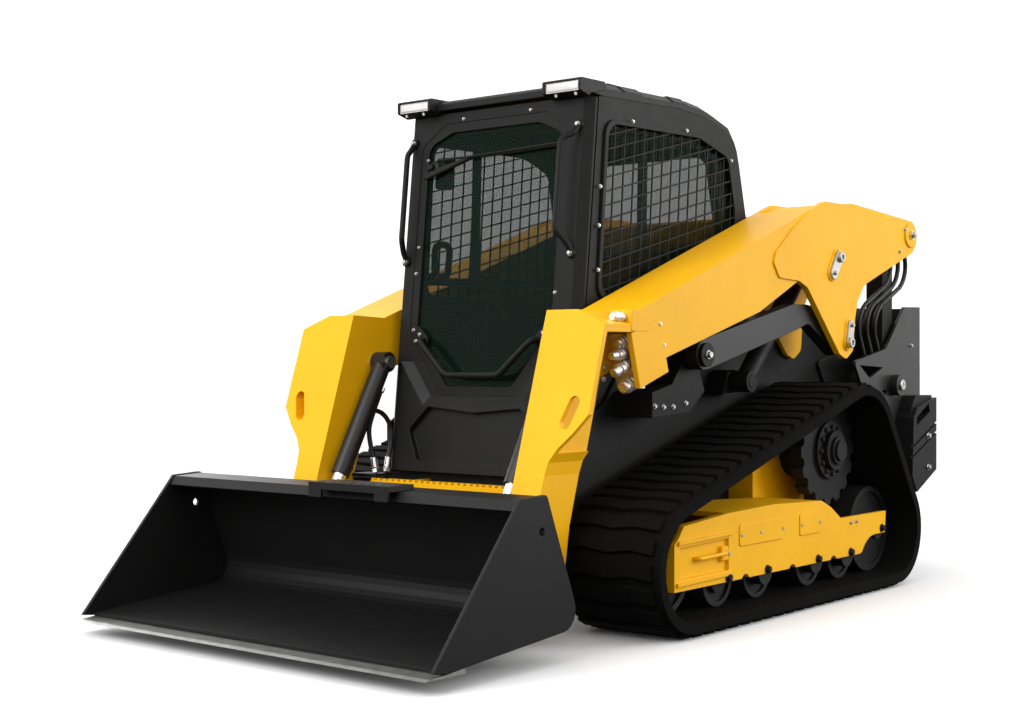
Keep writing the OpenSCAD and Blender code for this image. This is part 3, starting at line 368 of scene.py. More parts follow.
def rounded_corners(corners, radius, steps=5):
    """Flat outline with every corner rounded."""
    corners = [Vector(corner) for corner in corners]
    outline = []
    for corner in zip(corners[-1:] + corners[:-1], corners, corners[1:] + corners[:1]):
        outline += round_corner(*corner, radius, OUTLINE_SHARE, steps)
    return outline


def rectangle(u0, v0, u1, v1):
    """Corners of a flat rectangle."""
    return [(u0, v0), (u1, v0), (u1, v1), (u0, v1)]


def smooth_path(points, steps=8):
    """Points of a smooth curve through the given ones."""
    points = [Vector(point) for point in points]
    ends = [2 * points[0] - points[1]] + points + [2 * points[-1] - points[-2]]
    path = []
    for a, b, c, d in zip(ends, ends[1:], ends[2:], ends[3:]):
        for i in range(steps):
            t = i / steps
            path.append(0.5 * (2 * b + (c - a) * t + (2 * a - 5 * b + 4 * c - d) * t ** 2
                               + (3 * b - a - 3 * c + d) * t ** 3))
    path.append(points[-1])
    return path


def tube(mesh, path, radius, sides=14):
    """A round tube along a path, its section carried along without twist."""
    runs = [(b - a).normalized() for a, b in zip(path, path[1:])]
    tangents = [runs[0]] + [(a + b).normalized() for a, b in zip(runs, runs[1:])] + [runs[-1]]
    u = axes_for(tangents[0])[0]
    loops = []
    for point, tangent in zip(path, tangents):
        u = (u - tangent * u.dot(tangent)).normalized()
        loops.append(circle(point, u, tangent.cross(u), radius, sides))
    loft(mesh, loops)


def shrunk(outline, inset):
    """Flat outline moved inwards."""
    onward = outline[1:] + outline[:1]
    area = sum(a.x * b.y - b.x * a.y for a, b in zip(outline, onward))
    sign = 1 if area > 0 else -1
    moved = []
    for before, here, after in zip(outline[-1:] + outline[:-1], outline, onward):
        along = (after - before).normalized()
        moved.append(here + Vector((-along.y, along.x)) * inset * sign)
    return moved


def stack(mesh, outline, steps):
    """Loft through a flat outline at several heights, moved inwards by an inset at each."""
    loft(mesh, [[Vector((q.x, q.y, z)) for q in shrunk(outline, inset)] for inset, z in steps])


def plate(mesh, outline, place, thick, chamfer):
    """A plate with a chamfered rim, raised by a function from (u, v, height) to a point."""
    inner = shrunk(outline, chamfer)
    loft(mesh, [
        [place(q.x, q.y, -SINK) for q in outline],
        [place(q.x, q.y, thick - chamfer) for q in outline],
        [place(q.x, q.y, thick) for q in inner],
    ])


def finish_piece(name, mesh, body, material, stands_for=()):
    """Turns a built mesh into a piece that rides on a body, where one is given."""
    bmesh.ops.recalc_face_normals(mesh, faces=mesh.faces)
    data = bpy.data.meshes.new(name)
    mesh.to_mesh(data)
    mesh.free()
    data.materials.append(MATERIALS[material])
    data.shade_smooth()
    data.set_sharp_from_angle(angle=math.radians(SHARP_ANGLE))
    piece = bpy.data.objects.new(name, data)
    bpy.context.scene.collection.objects.link(piece)
    if body:
        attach(piece, body)
    if stands_for:
        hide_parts(*stands_for)
    return piece


# Places on the machine

FRONT_NORMAL = (0, -math.cos(CAB_LEAN), math.sin(CAB_LEAN))


def off_front(x, z, out):
    """Point a distance in front of the cab's leaning face."""
    face = CAB_FRONT + (z - DECK_Z) * math.tan(CAB_LEAN)
    return Vector((x, face - out * math.cos(CAB_LEAN), z + out * math.sin(CAB_LEAN)))


def sunk_front(depth):
    """Function that raises (x, z, height) from a depth behind the cab's leaning face."""
    return lambda x, z, height: off_front(x, z, height - depth)


def on_side(sign, out):
    """Function that raises (y, z, height) outwards from a plane on the left or right."""
    return lambda y, z, height: Vector((sign * (out + height), y, z))


def inside_wall(sign):
    """Function that raises (y, z, height) inwards from the cab's left or right wall."""
    return lambda y, z, height: Vector((sign * (WALL_IN - height), y, z))


# Fasteners

# Bolts on flat sides: the face, the head's width and the places as (y, z)
SIDE_BOLTS = [
    (GUARD_OUT, 13, [(-525, 1705), (-534, 1552), (-540, 1378), (-300, 1986), (100, 1995), (462, 1905),
                     (522, 1560), (-420, 1269), (0, 1269), (430, 1269)]),
    (FRAME_OUT, 15, [(-153, 338), (-3, 338), (174, 337), (336, 338), (496, 338), (788, 311), (843, 312),
                     (-247, 274)]),
    (BRACKET_OUT, 17, [(-425, 846), (-363, 841), (-295, 841), (-202, 853)]),
    (WEIGHT_OUT, 24, [(1838, 651), (1838, 496)]),
    (TOWER_OUT, 18, [(1844, 1100)]),
    (LINK_OUT, 30, [LINK_PIN]),
]
# Bolts on the cab's front: the distance off it, the head's width and the places as (x, z)
HANDLE_FEET = [(434, 1946), (434, 1440)]
PAIRED_FRONT_BOLTS = [(14, 18, HANDLE_FEET), (10, 13, [(362, 1150), (326, 1132), (345, 1104)])]
LONE_FRONT_BOLTS = [
    (0, 12, [(-171, 2029), (184, 2030)]),
    (-2, 12, [(-355, 1868), (-376, 1500), (-380, 1390), (376, 1500), (362, 1290)]),
]
TOWER_PIN_CAP = [(27, -6), (27, 3), (23, 6), (10, 6), (9, 3)]
FRAME_NUTS = [(-250, 182), (54, 182), (484, 182), (786, 182), (1094, 262)]
FRAME_NUT_SIZE = 30
HUB_RING_R = 105
HUB_BOLT_COUNT = 12
HUB_BOLT_SIZE = 22


def front_bolts(mesh, groups, sign):
    """Groups of bolts on the cab's front, as listed or mirrored."""
    for out, size, places in groups:
        for x, z in places:
            bolt(mesh, off_front(sign * x, z, out), FRONT_NORMAL, size)


def chassis_bolts():
    """Zinc bolts of the cab, track frames, brackets, towers and weights."""
    mesh = bmesh.new()
    for sign in SIDES:
        out = (sign, 0, 0)
        for face, size, places in SIDE_BOLTS:
            for place in places:
                bolt(mesh, (sign * face, *place), out, size)
        front_bolts(mesh, PAIRED_FRONT_BOLTS, sign)
        turned(mesh, (sign * BOSS_OUT, *TOWER_PIN), out, TOWER_PIN_CAP, sides=28)
    front_bolts(mesh, LONE_FRONT_BOLTS, 1)
    return finish_piece("chassis_bolts", mesh, "chassis", "zinc")


def frame_nuts():
    """Black axle bolts of the rollers on the track frames."""
    mesh = bmesh.new()
    for sign in SIDES:
        for place in FRAME_NUTS:
            bolt(mesh, (sign * FRAME_OUT, *place), (sign, 0, 0), FRAME_NUT_SIZE)
    return finish_piece("frame_nuts", mesh, "chassis", "black_paint")


def hub_bolts():
    """Ring of bolts round each drive hub."""
    mesh = bmesh.new()
    for sign in SIDES:
        for i in range(HUB_BOLT_COUNT):
            turn = 2 * math.pi * i / HUB_BOLT_COUNT
            y = SPROCKET[0] + HUB_RING_R * math.cos(turn)
            z = SPROCKET[1] + HUB_RING_R * math.sin(turn)
            bolt(mesh, (sign * HUB_OUT, y, z), (sign, 0, 0), HUB_BOLT_SIZE)
    return finish_piece("hub_bolts", mesh, "chassis", "dark_steel")


# Undercarriage trim, on the track frames' sides

# Covers as (y0, z0, y1, z1)
COVERS = [(-168, 294, 179, 381), (320, 293, 502, 384)]
COVER_T = 5
# The tensioner's handle as (y, z, height), and the latch at its rear end
TENSIONER = [(-472, 276, -12), (-472, 276, 12), (-278, 279, 12), (-278, 279, -12)]
TENSIONER_R = 8
LATCH = (-300, 250, -250, 306)
LATCH_DEPTH = 14
LATCH_T = 18


def frame_covers():
    """Inspection covers and the tensioner's handle on the track frames."""
    mesh = bmesh.new()
    for sign in SIDES:
        raise_from = on_side(sign, FRAME_OUT)
        for cover in COVERS:
            plate(mesh, rounded_corners(rectangle(*cover), radius=14), raise_from, COVER_T, chamfer=2)
        tube(mesh, rounded_path([raise_from(*point) for point in TENSIONER], bend=14), TENSIONER_R)
        latch = rounded_corners(rectangle(*LATCH), radius=8)
        plate(mesh, latch, on_side(sign, FRAME_OUT - LATCH_DEPTH), LATCH_T, chamfer=3)
    return finish_piece("frame_covers", mesh, "chassis", "yellow_paint")


# Cab fittings

# Rails on the cab's front as (x, z, out): the left handle, and the left half of the door's rail
HANDLE = [(434, 1946, 4), (431, 1908, 32), (404, 1878, 78), (404, 1522, 78), (431, 1475, 32), (434, 1440, 4)]
HANDLE_R = 12.0
HANDLE_BEND = 42
HANDLE_FOOT = [(20, -SINK), (20, 10), (17, 14)]
DOOR_RAIL = [(300, 1106, 4), (292, 1098, 45), (139, 960, 45)]
DOOR_RAIL_R = 13.0
DOOR_RAIL_BEND = 60
RAIL_BRACKET = [(378, 1165), (330, 1165), (282, 1118), (282, 1085), (330, 1085)]
RAIL_BRACKET_T = 12
# How deep plates on the cab's front are let into it
FRONT_SINK = 2


def rails():
    """Bent grab handles and the rail across the door, in place of the plain ones."""
    mesh = bmesh.new()
    for sign in SIDES:
        handle = [off_front(sign * x, z, out) for x, z, out in HANDLE]
        tube(mesh, rounded_path(handle, HANDLE_BEND), HANDLE_R)
        for x, z in HANDLE_FEET:
            turned(mesh, off_front(sign * x, z, 0), FRONT_NORMAL, HANDLE_FOOT, sides=28)
        bracket = rounded_corners([(sign * x, z) for x, z in RAIL_BRACKET], radius=10)
        plate(mesh, bracket, sunk_front(FRONT_SINK), RAIL_BRACKET_T, chamfer=2)
    rail = DOOR_RAIL + [(-x, z, out) for x, z, out in reversed(DOOR_RAIL)]
    tube(mesh, rounded_path([off_front(*point) for point in rail], DOOR_RAIL_BEND), DOOR_RAIL_R)
    return finish_piece("rails", mesh, "chassis", "black_paint", ("grab_rails",))


LAMP_FRONT = round(side_of("work_lamps", LOW, Y), 1)
LAMP_X = (310, side_of("work_lamps", HIGH, X))
LAMP_Z = (side_of("work_lamps", LOW, Z), side_of("work_lamps", HIGH, Z))
LENS_RIM = 4
# The lens in steps of (inset, height)
LENS_DOME = [(0, -SINK), (0, 1), (2, 3), (5, 4.2)]
# Studs under each lamp: places between the lamp's ends, distance behind its front, and their top
STUD_X = (LAMP_X[0] + 40, LAMP_X[1] - 26)
STUD_BACK = 14
STUD_Z = 2068
STUD = [(6, -6), (6, 8), (4, 14)]


def lamp_lenses():
    """Smooth domed lenses in the roof's work lamps, and the two studs under each lamp."""
    mesh = bmesh.new()
    outline = rounded_corners(rectangle(LAMP_X[0] + LENS_RIM, LAMP_Z[0] + LENS_RIM,
                                        LAMP_X[1] - LENS_RIM, LAMP_Z[1] - LENS_RIM), radius=9)
    for sign in SIDES:
        loft(mesh, [[Vector((sign * q.x, LAMP_FRONT - height, q.y)) for q in shrunk(outline, inset)]
                    for inset, height in LENS_DOME])
        for x in STUD_X:
            turned(mesh, (sign * x, LAMP_FRONT + STUD_BACK, STUD_Z), (0, 0, -1), STUD, sides=14)
    return finish_piece("lamp_lenses", mesh, "chassis", "lamp_white")


# The parked wiper on the cab's front: outlines as (x, z), tubes as (x, z, out)
WIPER_ARM = [(-371, 1790), (-350, 1784), (-108, 1856), (-112, 1870), (-250, 1842), (-368, 1810)]
WIPER_ARM_T = 14
WIPER_BLADE = [(-290, 1862, 8), (-110, 1864, 10), (120, 1872, 10), (335, 1881, 8)]
WIPER_BLADE_R = 5
WIPER_EDGE = [(-60, 1858, 4), (335, 1873, 4)]
WIPER_EDGE_R = 4
WIPER_PIVOT = (-330, 1838, -30)
WIPER_PIVOT_FORM = [(26, 0), (30, 6), (30, 20), (14, 28), (12, 44)]
WIPER_MOTOR = [(-330, 1750), (-262, 1750), (-258, 1880), (-334, 1880)]
WIPER_MOTOR_T = 40
WIPER_MOTOR_DEPTH = 62


def wiper():
    """Parked wiper: arm on the door, blade along its top and the motor behind the glass."""
    mesh = bmesh.new()
    plate(mesh, rounded_corners(WIPER_ARM, radius=8), sunk_front(FRONT_SINK), WIPER_ARM_T, chamfer=5)
    tube(mesh, [off_front(*point) for point in WIPER_BLADE], WIPER_BLADE_R)
    tube(mesh, [off_front(*point) for point in WIPER_EDGE], WIPER_EDGE_R)
    turned(mesh, off_front(*WIPER_PIVOT), FRONT_NORMAL, WIPER_PIVOT_FORM, sides=24)
    motor = rounded_corners(WIPER_MOTOR, radius=14)
    plate(mesh, motor, sunk_front(WIPER_MOTOR_DEPTH), WIPER_MOTOR_T, chamfer=6)
    return finish_piece("wiper_arm", mesh, "chassis", "moulded_plastic", ("wiper",))


# Inner trim of the side windows as (y, z): its opening is narrower than the guard's
TRIM_OUTER = [(-480, 1982), (205, 1996), (458, 1932), (514, 1700), (532, 1258), (-541, 1258)]
TRIM_INNER = [(-452, 1950), (200, 1966), (372, 1900), (410, 1690), (420, 1300), (-505, 1300)]
TRIM_ROUND = 60
TRIM_DEPTH = (16, 20)
WALL_GAP = 0.5
# Bars of the sliding windows as (y, z), and the grab loop as (y, z, height)
WINDOW_POST = [(-196, 1380), (-158, 1380), (-140, 1962), (-178, 1960)]
WINDOW_POST_T = 24
WINDOW_SILL = [(-511, 1348), (424, 1366), (423, 1400), (-509, 1382)]
WINDOW_SILL_T = 28
GRAB_LOOP = [(-500, 1386, 14), (-500, 1386, 60), (-496, 1522, 60), (-398, 1526, 60), (-416, 1394, 60),
             (-416, 1390, 14)]
GRAB_LOOP_R = 15


def window_trim():
    """Moulded frame on the inside of each side window."""
    mesh = bmesh.new()
    outer = rounded_corners(TRIM_OUTER, TRIM_ROUND)
    inner = rounded_corners(TRIM_INNER, TRIM_ROUND)
    edges = ((outer, WALL_GAP), (outer, TRIM_DEPTH[0]), (inner, TRIM_DEPTH[1]), (inner, WALL_GAP))
    for sign in SIDES:
        raise_from = inside_wall(sign)
        band(mesh, [[raise_from(q.x, q.y, depth) for q in outline] for outline, depth in edges])
    return finish_piece("window_trim", mesh, "chassis", "moulded_plastic")


def window_bars():
    """Bars of the sliding side windows, and the grab loop on each wall."""
    mesh = bmesh.new()
    for sign in SIDES:
        raise_from = inside_wall(sign)
        plate(mesh, [Vector(q) for q in WINDOW_POST], raise_from, WINDOW_POST_T, chamfer=3)
        plate(mesh, [Vector(q) for q in WINDOW_SILL], raise_from, WINDOW_SILL_T, chamfer=4)
        tube(mesh, rounded_path([raise_from(*point) for point in GRAB_LOOP], bend=40), GRAB_LOOP_R)
    return finish_piece("window_bars", mesh, "chassis", "moulded_plastic")


# Rear edge of the cab as (z, y), the wall between its sides, and the wall's window as (x, z)
REAR_LINE = [(560, 612), (1300, 612), (1610, 626), (1896, 551), (1953, 533), (1986, 514)]
REAR_LOW, REAR_HIGH = REAR_LINE[0][0], REAR_LINE[-1][0]
REAR_GAP = 1.0
REAR_HALF = WALL_IN - REAR_GAP
REAR_T = 22.0
REAR_POINTS = 160
REAR_RINGS = 8
REAR_WINDOW = [(-316, 1545), (316, 1545), (322, 1944), (-322, 1944)]
WINDOW_ROUND = 60
# The pane laps behind the window's edge, between two depths
PANE = [(-322, 1539), (322, 1539), (328, 1950), (-328, 1950)]
PANE_ROUND = 64
PANE_DEPTHS = (8.0, 14.0)
PANE_SHARES = (0.34, 0.67, 1.0)


def rear_at(z):
    """Outer face of the cab's rear wall at a height."""
    for (z0, y0), (z1, y1) in zip(REAR_LINE, REAR_LINE[1:]):
        if z <= z1:
            return y0 + (y1 - y0) * (z - z0) / (z1 - z0)
    return REAR_LINE[-1][1]


def on_rear(point, depth):
    """Place on the cab's rear wall for a flat (x, z) point, a depth in front of its outer face."""
    return Vector((point.x, rear_at(point.y) - depth, point.y))


def middle_of(points):
    """Mean of flat points."""
    return sum((Vector(point) for point in points), Vector((0, 0))) / len(points)


def crossing(outline, middle, ray):
    """Where a ray from a middle leaves a closed flat outline."""
    best = 0.0
    for a, b in zip(outline, outline[1:] + outline[:1]):
        a, b = a - middle, b - middle
        edge = b - a
        cross = ray.x * edge.y - ray.y * edge.x
        if abs(cross) > 1e-9:
            reach = (a.x * edge.y - a.y * edge.x) / cross
            along = (a.x * ray.y - a.y * ray.x) / cross
            if reach > 0 and -1e-9 <= along <= 1 + 1e-9:
                best = max(best, reach)
    return middle + ray * best


def rear_wall():
    """Rear wall of the cab with its tall window, in place of the plain one."""
    mesh = bmesh.new()
    opening = rounded_corners(REAR_WINDOW, WINDOW_ROUND)
    border = [Vector(q) for q in rectangle(-REAR_HALF, REAR_LOW, REAR_HALF, REAR_HIGH)]
    middle = middle_of(opening)
    turns = [2 * math.pi * i / REAR_POINTS for i in range(REAR_POINTS)]
    inner = [crossing(opening, middle, Vector((math.cos(turn), math.sin(turn)))) for turn in turns]
    middle = middle_of(REAR_WINDOW)
    outer = [crossing(border, middle, (point - middle).normalized()) for point in inner]
    shares = [i / REAR_RINGS for i in range(REAR_RINGS + 1)]
    loops = []
    for depth, order in ((0.0, shares), (REAR_T, reversed(shares))):
        for share in order:
            loops.append([on_rear(a.lerp(b, share), depth) for a, b in zip(inner, outer)])
    band(mesh, loops)
    return finish_piece("rear_wall", mesh, "chassis", "black_paint", ("cab_rear_wall",))


def rear_glass():
    """Pane in the rear wall's window."""
    mesh = bmesh.new()
    outline = rounded_corners(PANE, PANE_ROUND, steps=8)
    centre = middle_of(outline)
    loops = []
    for depth, order in zip(PANE_DEPTHS, (PANE_SHARES, reversed(PANE_SHARES))):
        for share in order:
            loops.append([on_rear(centre.lerp(point, share), depth) for point in outline])
    loft(mesh, loops)
    return finish_piece("rear_glass", mesh, "chassis", "tinted_glass")


# Joysticks: their place on the consoles, and profiles as (radius, height)
STICK_FOOT = (345.0, -166.0, 1210.0)
STICK_LEAN = (0.06, -0.10, 1)
BELLOWS_FOLDS = 5
FOLD_RISE = 14
FOLD_TAPER = 6
GRIP = [(15, 94), (21, 104), (23, 130), (21, 150), (26, 166), (32, 178), (30, 192), (18, 200)]
# Switch panel in front of each stick, as (x from the stick, y)
SWITCH_PANEL = (-45, -270, 45, -205)
SWITCH_PANEL_T = 22


def consoles():
    """Joysticks with bellows and switch panels on the armrest consoles."""
    mesh = bmesh.new()
    bellows = [(58, -1), (58, 8)]
    for i in range(BELLOWS_FOLDS):
        bellows += [(52 - FOLD_TAPER * i, 12 + FOLD_RISE * i), (44 - FOLD_TAPER * i, 19 + FOLD_RISE * i)]
    bellows += [(15, 84), (14, 96)]
    panel = rounded_corners(rectangle(*SWITCH_PANEL), radius=14)
    for sign in SIDES:
        x, y, z = STICK_FOOT
        foot = Vector((sign * x, y, z))
        turned(mesh, foot, (0, 0, 1), bellows, sides=28)
        turned(mesh, foot, (sign * STICK_LEAN[0], *STICK_LEAN[1:]), GRIP, sides=24)
        plate(mesh, panel, lambda u, v, height: Vector((foot.x + u, v, foot.z + height)),
              SWITCH_PANEL_T, chamfer=6)
    return finish_piece("consoles", mesh, "chassis", "moulded_plastic")


# Lift linkage

# Lock plates on the arms: pin and far end as (y, z), and the end's radius
LOCKS = [(LIFT_EYE, (824, 1416), 29), (ARM_LOW_PIN, (990, 1186), 24)]
LOCK_T = 10
LOCK_PAD_RIM = 9
HEAD_SINK = 1
PIN_HEAD = [(24, 0), (24, 12), (21, 15), (12, 15), (12, 8)]
LOCK_BOLT = 20
REAR_PIN_BOLT = 30
BOSS_BOLTS = [(1584, 1662), (1526, 1551)]
BOSS_BOLT = 17


def slot_outline(a, b, radius, steps=10):
    """Flat outline with round ends about two centres."""
    a, b = Vector(a), Vector(b)
    turn = math.atan2(b.y - a.y, b.x - a.x)
    outline = []
    for centre, first in ((b, turn - math.pi / 2), (a, turn + math.pi / 2)):
        for i in range(steps + 1):
            angle = first + math.pi * i / steps
            outline.append(centre + Vector((math.cos(angle), math.sin(angle))) * radius)
    return outline


def pin_locks():
    """Zinc lock plates and bolts on the arms' pins."""
    mesh = bmesh.new()
    for sign in SIDES:
        out = (sign, 0, 0)
        for pin, end, radius in LOCKS:
            plate(mesh, slot_outline(pin, end, radius), on_side(sign, PAD_OUT), LOCK_T, chamfer=2)
            turned(mesh, (sign * (PAD_OUT + LOCK_T - HEAD_SINK), *pin), out, PIN_HEAD, sides=28)
            bolt(mesh, (sign * (PAD_OUT + LOCK_T), *end), out, LOCK_BOLT)
        bolt(mesh, (sign * (PAD_OUT + LOCK_T - HEAD_SINK), *ARM_REAR_PIN), out, REAR_PIN_BOLT)
        for place in BOSS_BOLTS:
            bolt(mesh, (sign * PLATE_OUT, *place), out, BOSS_BOLT)
    return finish_piece("pin_locks", mesh, "lift_arm", "zinc")


def lock_pads():
    """Painted pads under the lock plates, as long as the plates."""
    mesh = bmesh.new()
    for sign in SIDES:
        for pin, end, radius in LOCKS:
            outline = slot_outline(pin, end, radius + LOCK_PAD_RIM)
            plate(mesh, outline, on_side(sign, PLATE_OUT), PAD_T, chamfer=4)
    return finish_piece("lock_pads", mesh, "lift_arm", "yellow_paint")


# Couplers on the left leg, four in its pocket and one on its top: tip, root, radii of tip and body
COUPLER_X = 735.0
COUPLERS = [
    ((COUPLER_X, -757, 1085), (COUPLER_X, -684, 1107), 19, 22),
    ((COUPLER_X, -792, 1039), (COUPLER_X, -672, 1056), 15, 21),
    ((COUPLER_X, -778, 975), (COUPLER_X, -652, 1027), 19, 24),
    ((COUPLER_X, -720, 922), (COUPLER_X, -630, 948), 25, 29),
    ((752, -812, 1184), (752, -728, 1184), 17, 20),
]
# Their profile: shares of the tip's radius, then of the body's, each with a share of the length
COUPLER_TIP = [(0.78, 0.0), (1.0, 0.05), (1.0, 0.24), (0.86, 0.26)]
COUPLER_BODY = [(1.0, 0.29), (1.0, 0.42), (0.9, 0.44), (0.9, 0.48), (1.0, 0.50), (1.0, 0.64), (0.82, 0.68),
                (0.82, 1.0)]
COUPLER_BOLTS = [(17, [(660, -732, 997), (660, -738, 954)]), (12, [(789, -549, 1162), (785, -517, 1083)])]
# Cover behind the top one: outline as (y, z), then (x, inset) across it
COUPLER_BOX = [(-738, 1130), (-738, 1212), (-704, 1216), (-640, 1192), (-622, 1130)]
COUPLER_BOX_X = [(690, 3), (694, 0), (785, 0), (789, 3)]


def couplers():
    """Turned bodies of the hydraulic couplers on the left leg, and the bolts round them."""
    mesh = bmesh.new()
    for tip, root, tip_r, body_r in COUPLERS:
        along = Vector(root) - Vector(tip)
        profile = [(share * tip_r, t * along.length) for share, t in COUPLER_TIP]
        profile += [(share * body_r, t * along.length) for share, t in COUPLER_BODY]
        turned(mesh, tip, along, profile, sides=28)
    for size, places in COUPLER_BOLTS:
        for place in places:
            bolt(mesh, place, (1, 0, 0), size)
    return finish_piece("coupler_bodies", mesh, "lift_arm", "bright_zinc")


def coupler_box():
    """Folded cover behind the single coupler on the left leg's top."""
    mesh = bmesh.new()
    outline = rounded_corners(COUPLER_BOX, radius=6, steps=3)
    loft(mesh, [[Vector((x, q.x, q.y)) for q in shrunk(outline, inset)] for x, inset in COUPLER_BOX_X])
    return finish_piece("coupler_box", mesh, "lift_arm", "yellow_paint")


# Hoses

def arc(centre, radius, first, last, steps=10):
    """Flat points on an arc about a centre, from one angle to another in degrees."""
    points = []
    for i in range(steps + 1):
        turn = math.radians(first + (last - first) * i / steps)
        points.append((centre[0] + radius * math.cos(turn), centre[1] + radius * math.sin(turn)))
    return points


def across_x(flat, first, last):
    """(x, y, z) points along a flat route whose x goes evenly from one value to another."""
    count = len(flat) - 1
    return [(first + (last - first) * i / count, y, z) for i, (y, z) in enumerate(flat)]


# The rearmost hose on the left, from the tower up to the arm in an S of two wide bends
REAR_HOSE_R = 11.0
REAR_HOSE = across_x([(1545, 1055), (1524, 1085), (1503, 1115)] + arc((1572, 1208), 110, 215, 115)
                     + arc((1626, 1470), 105, -65, 80) + [(1590, 1584)], 676, 744)
# How far forward of it each rear hose runs
REAR_HOSE_STEPS = (0, 84, 166)

# Left tilt hoses: over an arch from the port at the cylinder's foot, and down from the one at its top
TILT_HOSE_R = 10.0
TILT_ARCH = across_x([(-964, 577), (-948, 636), (-935, 695)] + arc((-842, 728), 90, 172, -8)
                     + [(-757, 670), (-775, 615), (-790, 562)], 450, 408)
TILT_DROP = [(450, -774, 905), (450, -826, 800), (447, -850, 740), (440, -850, 680), (424, -846, 620),
             (412, -846, 562)]

# A fitting on a hose's end, as (radius beyond the hose's, height): a nut, then a sleeve with crimps
FITTING_NUT = [(2, 0), (5, 2), (5, 16), (2, 18)]
FITTING_CRIMPS = 4
CRIMP_STEP = 9
PORT_NUT = [(5, -8), (5, 10), (2, 14)]

# Plate under the tilt hoses' lower ends, as (x, y)
HOSE_BRACKET = [(386, -874), (508, -900), (508, -790), (386, -766)]
HOSE_BRACKET_Z = 548.0
HOSE_BRACKET_T = 12


def mirrored(points, sign):
    """Points of the left side, or the same on the right."""
    return [(sign * x, y, z) for x, y, z in points]


def hose(name, route, radius):
    """A hose along a smooth route through the given points, as a rubber tube baked in place."""
    path = smooth_path(route)
    mesh = bmesh.new()
    tube(mesh, path, radius)
    piece = finish_piece(name, mesh, None, "hose_rubber")
    points = [tuple(point * MM) for point in path]
    tuple(Vector(route[1]) * MM)
    tuple(Vector(route[-2]) * MM)
    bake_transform(piece)
    tuple(points[0])


def hoses():
    """Rear hoses between the towers and the arms, and the tilt cylinders' hoses."""
    for side, sign in zip(("left", "right"), SIDES):
        for i, step in enumerate(REAR_HOSE_STEPS):
            route = mirrored([(x, y - step, z) for x, y, z in REAR_HOSE], sign)
            hose(f"rear_hose_{side}_{i + 1}", route, REAR_HOSE_R)
        for name, points in (("arch", TILT_ARCH), ("drop", TILT_DROP)):
            route = mirrored(reversed(points), sign)
            hose(f"tilt_hose_{side}_{name}", route, TILT_HOSE_R)


def nut(mesh, tip, onward, profile):
    """A hexagon nut on a tilt hose's end, along the hose."""
    turned(mesh, tip, Vector(onward) - Vector(tip), [(TILT_HOSE_R + r, h) for r, h in profile],
           sides=6)


def fitting(mesh, tip, onward):
    """A nut and a crimped sleeve on a tilt hose's end, from the nut's face along the hose."""
    nut(mesh, tip, onward, FITTING_NUT)
    sleeve = [(1, 17), (3, 22)]
    for i in range(FITTING_CRIMPS):
        crimp = CRIMP_STEP * i
        sleeve += [(3.2, 24 + crimp), (2.2, 28 + crimp), (3.2, 31 + crimp)]
    sleeve += [(2.5, 62), (0.6, 64)]
    turned(mesh, tip, Vector(onward) - Vector(tip), [(TILT_HOSE_R + r, h) for r, h in sleeve],
           sides=20)


def hose_fittings():
    """Chrome fittings at the lower ends of the tilt hoses."""
    mesh = bmesh.new()
    for sign in SIDES:
        for points in (TILT_ARCH, TILT_DROP):
            route = mirrored(points, sign)
            fitting(mesh, route[-1], route[-2])
    return finish_piece("hose_fittings", mesh, "lift_arm", "chrome")


def port_fittings():
    """Chrome fittings on the tilt cylinders' ports."""
    mesh = bmesh.new()
    for sign in SIDES:
        fitting(mesh, *mirrored(TILT_ARCH, sign)[:2])
        nut(mesh, *mirrored(TILT_DROP, sign)[:2], PORT_NUT)
    return finish_piece("port_fittings", mesh, "tilt_barrel", "chrome")


def hose_brackets():
    """Plates on the legs' inner sides that hold the tilt hoses' lower ends."""
    mesh = bmesh.new()
    outline = rounded_corners(HOSE_BRACKET, radius=16)
    for sign in SIDES:
        plate(mesh, outline, lambda x, y, height: Vector((sign * x, y, HOSE_BRACKET_Z + height)),
              HOSE_BRACKET_T, chamfer=2)
    return finish_piece("hose_brackets", mesh, "lift_arm", "black_paint")


# Seat

# How far inside their finished size the pads are before they are blown up
PAD_INSET = 14
CUSHION = (-240, -140, 240, 380)
CUSHION_Z = (840, 970)
CUSHION_ROUND = 70
# The backrest: z of its foot and top, and its front and rear y at both
BACK_Z = (975.0, 1570.0)
BACK_FOOT = (262, 398)
BACK_TOP = (422, 518)
BACK_HALF = 230.0
BACK_TAPER = 40
BACK_ROUND = 80
# The backrest in steps of (inset, share of its depth)
BACK_STEPS = [(40, 0.10), (10, 0.14), (0, 0.28), (0, 0.80), (10, 0.92)]
CLOTH_FRAMES = 20
CLOTH_PRESSURE = 4.0
# Metres: how far a point may move, and the size of the cloth's cells
CLOTH_CAP = 0.016
CLOTH_VOXEL = 0.011
FOOT = (-150, -60, 150, 340)
FOOT_Z = (580, 845)
FOOT_BASE = 60
FOOT_FOLDS = 6
FOOT_LIP = 10


def cushion():
    """Cushion's form before it is blown up, in place of the plain seat."""
    mesh = bmesh.new()
    x0, y0, x1, y1 = CUSHION
    outline = rounded_corners(rectangle(x0 + PAD_INSET, y0 + PAD_INSET, x1 - PAD_INSET, y1 - PAD_INSET),
                              CUSHION_ROUND)
    low = CUSHION_Z[0] + 4
    high = CUSHION_Z[1] - PAD_INSET
    stack(mesh, outline, [(12, low), (0, low + 20), (0, high - 30), (12, high - 6), (40, high)])
    return finish_piece("seat_cushion", mesh, "chassis", "seat_cover", ("seat",))


